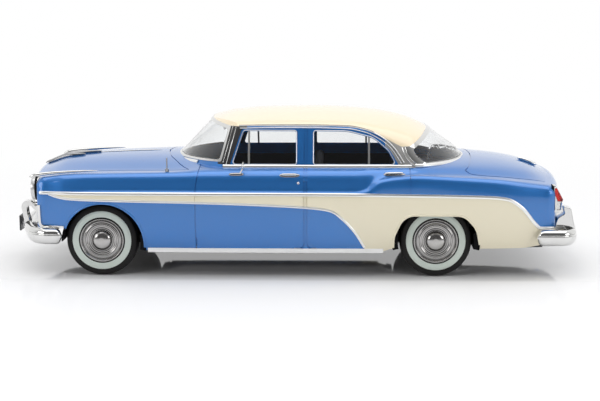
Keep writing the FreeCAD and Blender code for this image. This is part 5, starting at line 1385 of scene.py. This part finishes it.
def mouth(inset):
    """The nose's opening, drawn in by inset all round."""
    middle_z = (GRILLE_Z0 + MOUTH_TOP) / 2
    share_y, share_z = 1 - inset / GRILLE_Y, 1 - inset / (MOUTH_TOP - middle_z)
    return rounded([(y * share_y, middle_z + (z - middle_z) * share_z, r) for y, z, r in NOSE_MOUTH])


def make_grille_surround():
    """The mouth's bright rim, with a strip running back round each corner of the nose."""
    rim = prism(rounded(NOSE_MOUTH), 0, -140, -119.5, "rim")
    boolean(rim, prism(mouth(1.4), 0, -150, -110))
    boolean(rim, body_solid("skin", 0.9), "INTERSECT")
    pieces = [rim]
    for low, high in ((-PAST_SIDE, -40), (40, PAST_SIDE)):
        strip = body_solid("corner", 0.75)
        boolean(strip, prism(rounded(CORNER_STRIP), 1, low, high), "INTERSECT")
        pieces.append(boolean(strip, body_solid("skin", -0.5)))
    finished(joined("grille_edge", pieces, CHROME), "grille_surround", slot="bright_plating")


def make_grille():
    """A row of teeth crossed by one bar, before a dark back."""
    make_grille_surround()
    back = prism(mouth(0.2), 0, -119.8, -118.0, "grille_back")
    finish_faces(back, WELL_BLACK)
    finished(back, slot="black_plastic")
    front = NOSE_FACE_X - 1.4
    outline = [(-121.0, 29.4, 0), (front + 3.4, 29.4, 1.4), (front, 33.4, 3.0), (front, 38.4, 3.0),
               (front + 3.0, 42.9, 1.4), (-121.0, 42.9, 0)]
    tooth = softened(prism(rounded(outline), 1, -TOOTH_HALF, TOOTH_HALF, "tooth"), 1.1, 3)
    ys = [(k - TEETH // 2) * TOOTH_PITCH for k in range(TEETH)]
    teeth = row_of(tooth, [(y * y / (2 * NOSE_FACE_BOW), y, 0) for y in ys], "teeth", CHROME)
    ys = np.linspace(-46.5, 46.5, 60)
    path = [(NOSE_FACE_X + 0.6 + y * y / (2 * NOSE_FACE_BOW), y, 34.4) for y in ys]
    bar = along_path(path, BAR_SECTION, [(-1.0, y / NOSE_FACE_BOW, 0) for y in ys], "bar")
    finished(joined("grille_teeth", [teeth, bar], CHROME, 40), "grille", slot="bright_plating")


def make_front_lamps():
    """Headlamps: a rim round a bowl, a black ring behind the rim as painted shade in its gap, and a domed
    glass.
    """
    r = HEADLAMP_R
    seat_r, rim_r = r - 0.9, r - 1.1
    rim = [
        (seat_r, 6.0), (r + 0.1, 6.0), (r + 0.25, 1.5), (r + 0.2, -0.6), (r - 0.1, -1.2), (r - 0.5, -1.35),
        (r - 0.95, -1.0), (r - 1.15, -0.2), (r - 1.15, 5.5),
    ]
    bowl = [(0.02, 4.2), (2.0, 4.0), (3.8, 3.0), (rim_r, 1.3), (rim_r, 4.8), (0.02, 4.8)]
    gap = [(seat_r, 0.9), (r + 0.6, 0.9), (r + 0.6, 2.0), (seat_r, 2.0)]
    dome = [(0.02, -1.3), (1.5, -1.22), (3.0, -0.95), (4.2, -0.5), (rim_r, 0.0), (rim_r, 1.2), (0.02, 1.2)]
    for name, profiles, material, nodes, slot in (
        ("headlamp_bezels", (rim, bowl), FINE_TRIM, ["headlamp_rims"], "bright_plating"),
        # A black ring behind each rim: painted shade in the gap to the body.
        ("headlamp_gaps", (gap,), WELL_BLACK, [], "black_plastic"),
        ("headlamp_glasses", (dome,), LAMP_GLASS, ["headlamp_lenses"], "clear_glazing"),
    ):
        parts = [spun(profile, centre, 0, material, "ring") for centre in HEADLAMPS for profile in profiles]
        finished(joined(name, parts, material), *nodes, slot=slot)


# Tail lamps' side views.
TAIL_LAMP_BODY = [
    (148.0, 34.6, 0), (150.0, 49.0, 0.4), (151.8, 48.9, 0.8), (153.0, 46.0, 0.5), (154.6, 41.0, 0.5),
    (154.0, 34.6, 0.8),
]
# Side view of a black strip: painted shade in the gap between the body's tail and the lamp.
TAIL_LAMP_SHADE_STRIP = [
    (148.0, 36.2, 0), (149.8, 49.1, 0.3), (150.6, 48.9, 0.3), (150.9, 45.0, 1.0), (151.5, 36.2, 0.3),
]
TAIL_LAMP_RED = [
    (150.9, 47.7, 0.3), (152.1, 47.9, 0.4), (155.5, 41.8, 0.6), (155.2, 40.5, 0.3), (152.6, 40.5, 0.3),
    (151.0, 44.4, 0),
]
TAIL_LAMP_CLEAR = [(152.4, 40.1, 0.3), (155.2, 40.1, 0.3), (154.7, 36.0, 0.6), (152.2, 36.0, 0.4)]


def make_tail_lamps():
    """Each tail lamp's housing, a black strip as painted shade in the gap before it, red lens and clear
    reversing lens.
    """
    for name, outline, past_low, past_high, soft, material, nodes, slot in (
        ("tail_lamp_bodies", TAIL_LAMP_BODY, 0, 0, 0.5, CHROME, ["tail_lamp_housings"], "bright_plating"),
        # The black strip is painted shade in the gap, not a part of the lamp.
        ("tail_lamp_seats", TAIL_LAMP_SHADE_STRIP, 0.35, -0.35, 0.2, WELL_BLACK, [], "black_plastic"),
        ("tail_lamp_reds", TAIL_LAMP_RED, 0.15, 0.15, 0.4, RED_LENS, ["tail_lamp_lenses"], "red_lens"),
        ("reversing_lamp_glasses", TAIL_LAMP_CLEAR, 0.1, 0.1, 0.3, LAMP_GLASS, ["reversing_lamp_lenses"],
         "white_lens"),
    ):
        parts = [softened(prism(rounded(outline), 1, low - past_low, high + past_high, "part"), soft)
                 for low, high in ((-47.6, -41.2), (41.2, 47.6))]
        finished(joined(name, parts, material), *nodes, slot=slot)


# ---------------------------------------------------------------- small fittings and wheel wells


def tapered(path, width, height, name, material=None):
    """Rounded bar along a path, drawn in at both ends."""
    points, facings = path
    share = np.linspace(-1, 1, len(points))
    size = np.sqrt(np.maximum(1 - share ** 4, 0.02))[:, None, None]
    angles = np.linspace(0, 2 * math.pi, 16, endpoint=False)
    ring = np.stack([np.cos(angles) * width / 2, np.sin(angles) * height / 2], -1)
    return along_path(points, ring[None] * size, facings, name, material, 60)


def make_door_handles(find):
    """A dark plate under a bright grip on each door, as painted shadow round the grip, and a lock under each
    front one.
    """
    handles = []
    for x0, x1, z in ((6.3, 17.0, 54.9), (61.0, 72.4, 55.2)):
        line = even_line([(x0, z), (x1, z)], 0.6)
        for side in SIDES:
            # The smoked plate, wider than the grip, is the grip's painted shadow.
            handles.append(tapered(on_side(find, line, side, 0.1), 2.3, 0.9, "plate", SMOKED))
            handles.append(tapered(on_side(find, line[1:-2], side, 1.1), 1.2, 0.9, "grip", CHROME))
    lock = even_line([(15.5, 51.0), (16.9, 51.0)], 0.2)
    handles += [tapered(on_side(find, lock, side), 1.4, 0.9, "lock", CHROME) for side in SIDES]
    finished(joined("handles_and_locks", handles, None, 60), "door_handles", slot="bright_plating")


def make_door_mirror(find):
    """Round mirror on a stem, on the left front door."""
    line = even_line([(-20.3, 55.3), (-12.5, 55.3)], 0.4)
    foot = tapered(on_side(find, line, -1.0, 0.2), 1.9, 1.3, "foot", SMOKED)
    stem = rod_piece((-14.8, -51.0, 55.2), (-12.9, -51.6, 58.6), 0.38, CHROME, 12)
    profile = [(0.02, -0.9), (1.2, -0.75), (2.1, -0.2), (2.25, 0.2), (2.05, 0.35), (0.02, 0.35)]
    head = spun(profile, (-12.7, -51.8, 59.9), 0, CHROME, "head", 32, 40)
    finished(joined("mirror", [foot, stem, head], None, 40), "door_mirror", slot="bright_plating")


SPEAR_LINE = [(-127.2, 53.0), (-124.0, 54.0), (-115.0, 55.2), (-97.0, 56.3), (-90.0, 56.5)]
SPEAR_SECTION = [
    (0.9, 0), (0.6, 0.7), (0, 1.0), (-0.6, 0.7), (-0.9, 0), (-0.6, -0.7), (0, -1.0), (0.6, -0.7),
]
SPEAR_Y = 46.4


def make_wing_spears():
    """A spear over each headlamp, blunt in front and drawn out to the rear."""
    line = smooth_line(SPEAR_LINE, 0.7)
    share = np.linspace(0, 1, len(line))
    size = (np.sqrt(np.minimum(share * 12, 1)) * (1 - share) ** 0.5 + 0.06)[:, None, None]
    rings = np.array(SPEAR_SECTION) * size
    up = np.tile([0.0, 0.0, 1.0], (len(line), 1))
    spears = [along_path(np.insert(line, 1, side * SPEAR_Y, axis=1), rings, up, "spear", CHROME, 60)
              for side in SIDES]
    finished(joined("wing_tip_spears", spears, CHROME, 60), "wing_spears", slot="bright_plating")


def make_boot_handle(find):
    path = from_above(find, even_line([(136.8, 0.0), (147.6, 0.0)], 0.5), 0.9)
    finished(tapered(path, 2.8, 2.2, "grip", TRIM), "boot_handle", slot="bright_plating")


def make_bonnet_ornament(find):
    """A spear and two wings on the bonnet's nose, with a fine tail running back."""
    spears = [([(-127.6, 0.0), (-120.0, 0.0), (-96.0, 0.0)], 2.6)]
    for side in SIDES:
        wing = [(-127.0, side * 0.8), (-120.0, side * 3.4), (-111.0, side * 5.8), (-104.0, side * 6.6)]
        spears.append((wing, 2.0))
    ornament = [tapered(from_above(find, smooth_line(line, 0.7), 0.7), width, 2.0, "spear", SMOKED)
                for line, width in spears]
    tail = from_above(find, even_line([(-98.0, 0.0), (-62.0, 0.0)]), 0.1)
    ornament.append(tapered(tail, 0.8, 0.7, "tail", CHROME))
    finished(joined("bonnet_spears", ornament, None, 60), "bonnet_ornament", slot="bright_plating")


def curved_wall(middle, inner_r, outer_r, low, high, angles):
    """Piece of a ring about a wheel, between two radii and from low to high across the car."""
    corners = ((inner_r, low), (inner_r, high), (outer_r, high), (outer_r, low))
    rings = [[(middle[0] + r * math.cos(a), y, middle[1] + r * math.sin(a)) for r, y in corners]
             for a in angles]
    return loft("well", rings, WELL_BLACK)


def make_wheel_wells():
    """Black liners standing round the upper half of each wheel, inside the arches."""
    wells = []
    # each liner's middle and radius, the angle it reaches, and where its end walls start
    for middle, r, ahead, end_starts in ((FRONT_ARCH_MIDDLE, 22.0, 178, (-11,)),
                                         ((REAR_AXLE_X, HUB_Z), 22.6, 190, (-11, 168))):
        angles = np.radians(np.linspace(-10, ahead, 60))
        fan = [(middle[0] + (r + 0.4) * math.cos(a), middle[1] + (r + 0.4) * math.sin(a)) for a in angles]
        for low, high, inner in ((-50.2, -33.0, -33.0), (33.0, 50.2, 33.0)):
            wells.append(curved_wall(middle, r, r + 0.7, low, high, angles))
            for start in end_starts:
                ends = np.radians(np.linspace(start, start + 23, 12))
                wells.append(curved_wall(middle, r - 2.5, r + 0.6, low, high, ends))
            wells.append(prism([middle] + fan, 1, inner - 0.4, inner + 0.4, "inner_wall", WELL_BLACK))
    finished(joined("wheel_well_liners", wells, WELL_BLACK), slot="black_plastic")


# ---------------------------------------------------------------- cad nodes kept

KEPT_FINISH = {
    "interior_tub": NAVY, "front_seat": SEAT_BLUE, "rear_seat": SEAT_BLUE, "dashboard": NAVY,
    "steering_wheel": NAVY, "rear_view_mirror": CHROME, "floor_pan": BLACK, "chassis_frame": BLACK,
    "rear_axle": STEEL, "leaf_springs": STEEL, "propeller_shaft": STEEL, "engine_and_gearbox": BLACK,
    "wishbones": STEEL, "front_knuckles": STEEL, "exhaust": STEEL, "fuel_tank": BLACK,
    "bumper_brackets": STEEL, "number_plates": PLATE, "aerial": SMOKED, "parking_lamps": FROSTED,
}


def finish_kept_nodes():
    """Give the plain nodes that nothing replaces their materials."""
    for name, material in KEPT_FINISH.items():
        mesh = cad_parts[name].data
        mesh.materials.clear()
        mesh.materials.append(material)


# ---------------------------------------------------------------- floor, light, camera


def make_stage():
    """Pale table, glossy from the car's near side back, fading to the background's white far off."""
    half = 6
    mesh = bpy.data.meshes.new("floor")
    corners = [(-half, -half, 0), (half, -half, 0), (half, half, 0), (-half, half, 0)]
    mesh.from_pydata(corners, [], [(0, 1, 2, 3)])
    floor = added("floor", mesh)
    material, tree, shader = node_tree("table_sweep")
    where = add_node(tree, "ShaderNodeTexCoord").outputs["Object"]
    back = add_node(tree, "ShaderNodeSeparateXYZ", {0: where}).outputs["Y"]
    feed(shader, {
        "Base Color": (0.90, 0.90, 0.91, 1), "Roughness": 0.04,
        "Specular IOR Level": faded(tree, back, -0.060, -0.046, 0.006, 0.5)})
    rays = add_node(tree, "ShaderNodeLightPath").outputs
    seen = maths(tree, "MAXIMUM", rays["Is Camera Ray"], rays["Is Transmission Ray"])
    seen = maths(tree, "MAXIMUM", seen, rays["Is Glossy Ray"])
    behind = maths(tree, "MULTIPLY", faded(tree, back, 0.02, 0.42), seen)
    reach = add_node(tree, "ShaderNodeVectorMath", {0: where}, operation="LENGTH").outputs["Value"]
    rim = maths(tree, "MULTIPLY", faded(tree, reach, 0.42, 0.95), rays["Is Camera Ray"])
    glow = add_node(tree, "ShaderNodeEmission", {"Strength": 1.0})
    mix = add_node(tree, "ShaderNodeMixShader", {
        0: maths(tree, "MAXIMUM", behind, rim), 1: shader.outputs[0], 2: glow.outputs[0]})
    feed(tree.get_output_node("ALL"), {"Surface": mix.outputs[0]})
    mesh.materials.append(material)


def make_world():
    """Studio walls: bright behind and above, darker low in front; white where looked at directly."""
    world = bpy.data.worlds.new("studio")
    bpy.context.scene.world = world
    world.use_nodes = True
    tree = world.node_tree
    tree.nodes.clear()
    where = add_node(tree, "ShaderNodeTexCoord").outputs["Generated"]
    toward = add_node(tree, "ShaderNodeSeparateXYZ", {0: where}).outputs
    behind = faded(tree, toward["Y"], -0.55, 0.25, 0.46, 0.98)
    above = faded(tree, toward["Z"], 0.25, 0.75, 0.0, 0.75)
    ahead = add_node(tree, "ShaderNodeVectorMath", {0: where, 1: (0.0, -0.97, 0.24)}, operation="DOT_PRODUCT")
    dark = faded(tree, ahead.outputs["Value"], 0.45, 0.92, 1.0, 0.26)
    level = maths(tree, "MULTIPLY", maths(tree, "MAXIMUM", behind, above), dark)
    studio = add_node(tree, "ShaderNodeBackground", {"Color": level, "Strength": 1.0})
    white = add_node(tree, "ShaderNodeBackground", {"Color": (1, 1, 1, 1), "Strength": 1.0})
    rays = add_node(tree, "ShaderNodeLightPath").outputs
    onward = faded(tree, toward["Y"], -0.6, 0.1)
    through = maths(tree, "MULTIPLY", rays["Is Transmission Ray"], onward)
    seen = maths(tree, "MAXIMUM", rays["Is Camera Ray"], through)
    mix = add_node(tree, "ShaderNodeMixShader", {0: seen, 1: studio.outputs[0], 2: white.outputs[0]})
    add_node(tree, "ShaderNodeOutputWorld", {"Surface": mix.outputs[0]})


# Lamps, in metres and watts.
LAMPS = [
    # name, place, width and height, power, where it points
    ("overhead", (0.02, -0.14, 0.85), (1.2, 0.8), 4.0, (0, 0, 0)),
    ("nose_fill", (-1.0, -0.72, 0.42), (0.55, 0.45), 2.2, (0, 0, 0.04)),
    ("tail_fill", (1.05, -0.72, 0.42), (0.55, 0.45), 2.2, (0, 0, 0.04)),
]


def make_lamps():
    """Soft rectangular studio lamps."""
    for name, place, size, power, aim in LAMPS:
        light = bpy.data.lights.new(name, "AREA")
        light.shape = "RECTANGLE"
        light.size, light.size_y = size
        light.energy = power
        lamp = added(name, light)
        lamp.location = place
        lamp.rotation_euler = (Vector(aim) - Vector(place)).to_track_quat("-Z", "Y").to_euler()


CAMERA_PLACE = ((38.9 - ORIGIN_X) * MM, -0.7569, 0.165)
CAMERA_YAW, CAMERA_PITCH, CAMERA_ROLL = math.radians(-1.77), math.radians(9.92), math.radians(-0.18)
CAMERA_LENS, CAMERA_SENSOR = 81.67, 36.0


def make_camera():
    """Camera looking along +Y, turned to its right by yaw, down by pitch and clockwise by roll."""
    yaw, pitch, roll = CAMERA_YAW, CAMERA_PITCH, CAMERA_ROLL
    ahead = Vector((math.sin(yaw) * math.cos(pitch), math.cos(yaw) * math.cos(pitch), -math.sin(pitch)))
    level = Vector((math.cos(yaw), -math.sin(yaw), 0))
    rise = level.cross(ahead)
    right = level * math.cos(roll) + rise * math.sin(roll)
    up = rise * math.cos(roll) - level * math.sin(roll)
    data = bpy.data.cameras.new("camera")
    data.lens, data.sensor_width = CAMERA_LENS, CAMERA_SENSOR
    camera = added("camera", data)
    camera.matrix_world = Matrix.Translation(CAMERA_PLACE) @ Matrix((right, up, -ahead)).transposed().to_4x4()
    bpy.context.scene.camera = camera


def main():
    body_find = make_body()
    make_arch_lips(body_find)
    cabin_find = make_cabin()
    make_side_trim(body_find, cabin_find)
    for axle in ("front", "rear"):
        for side_name in ("left", "right"):
            make_wheel(axle, side_name)
    make_bumpers()
    make_grille()
    make_front_lamps()
    make_tail_lamps()
    make_door_handles(body_find)
    make_door_mirror(body_find)
    make_wing_spears()
    make_boot_handle(body_find)
    make_bonnet_ornament(body_find)
    make_wheel_wells()
    finish_kept_nodes()
    make_stage()
    make_world()
    make_lamps()
    make_camera()
    bpy.context.scene.view_settings.view_transform = "Standard"


main()
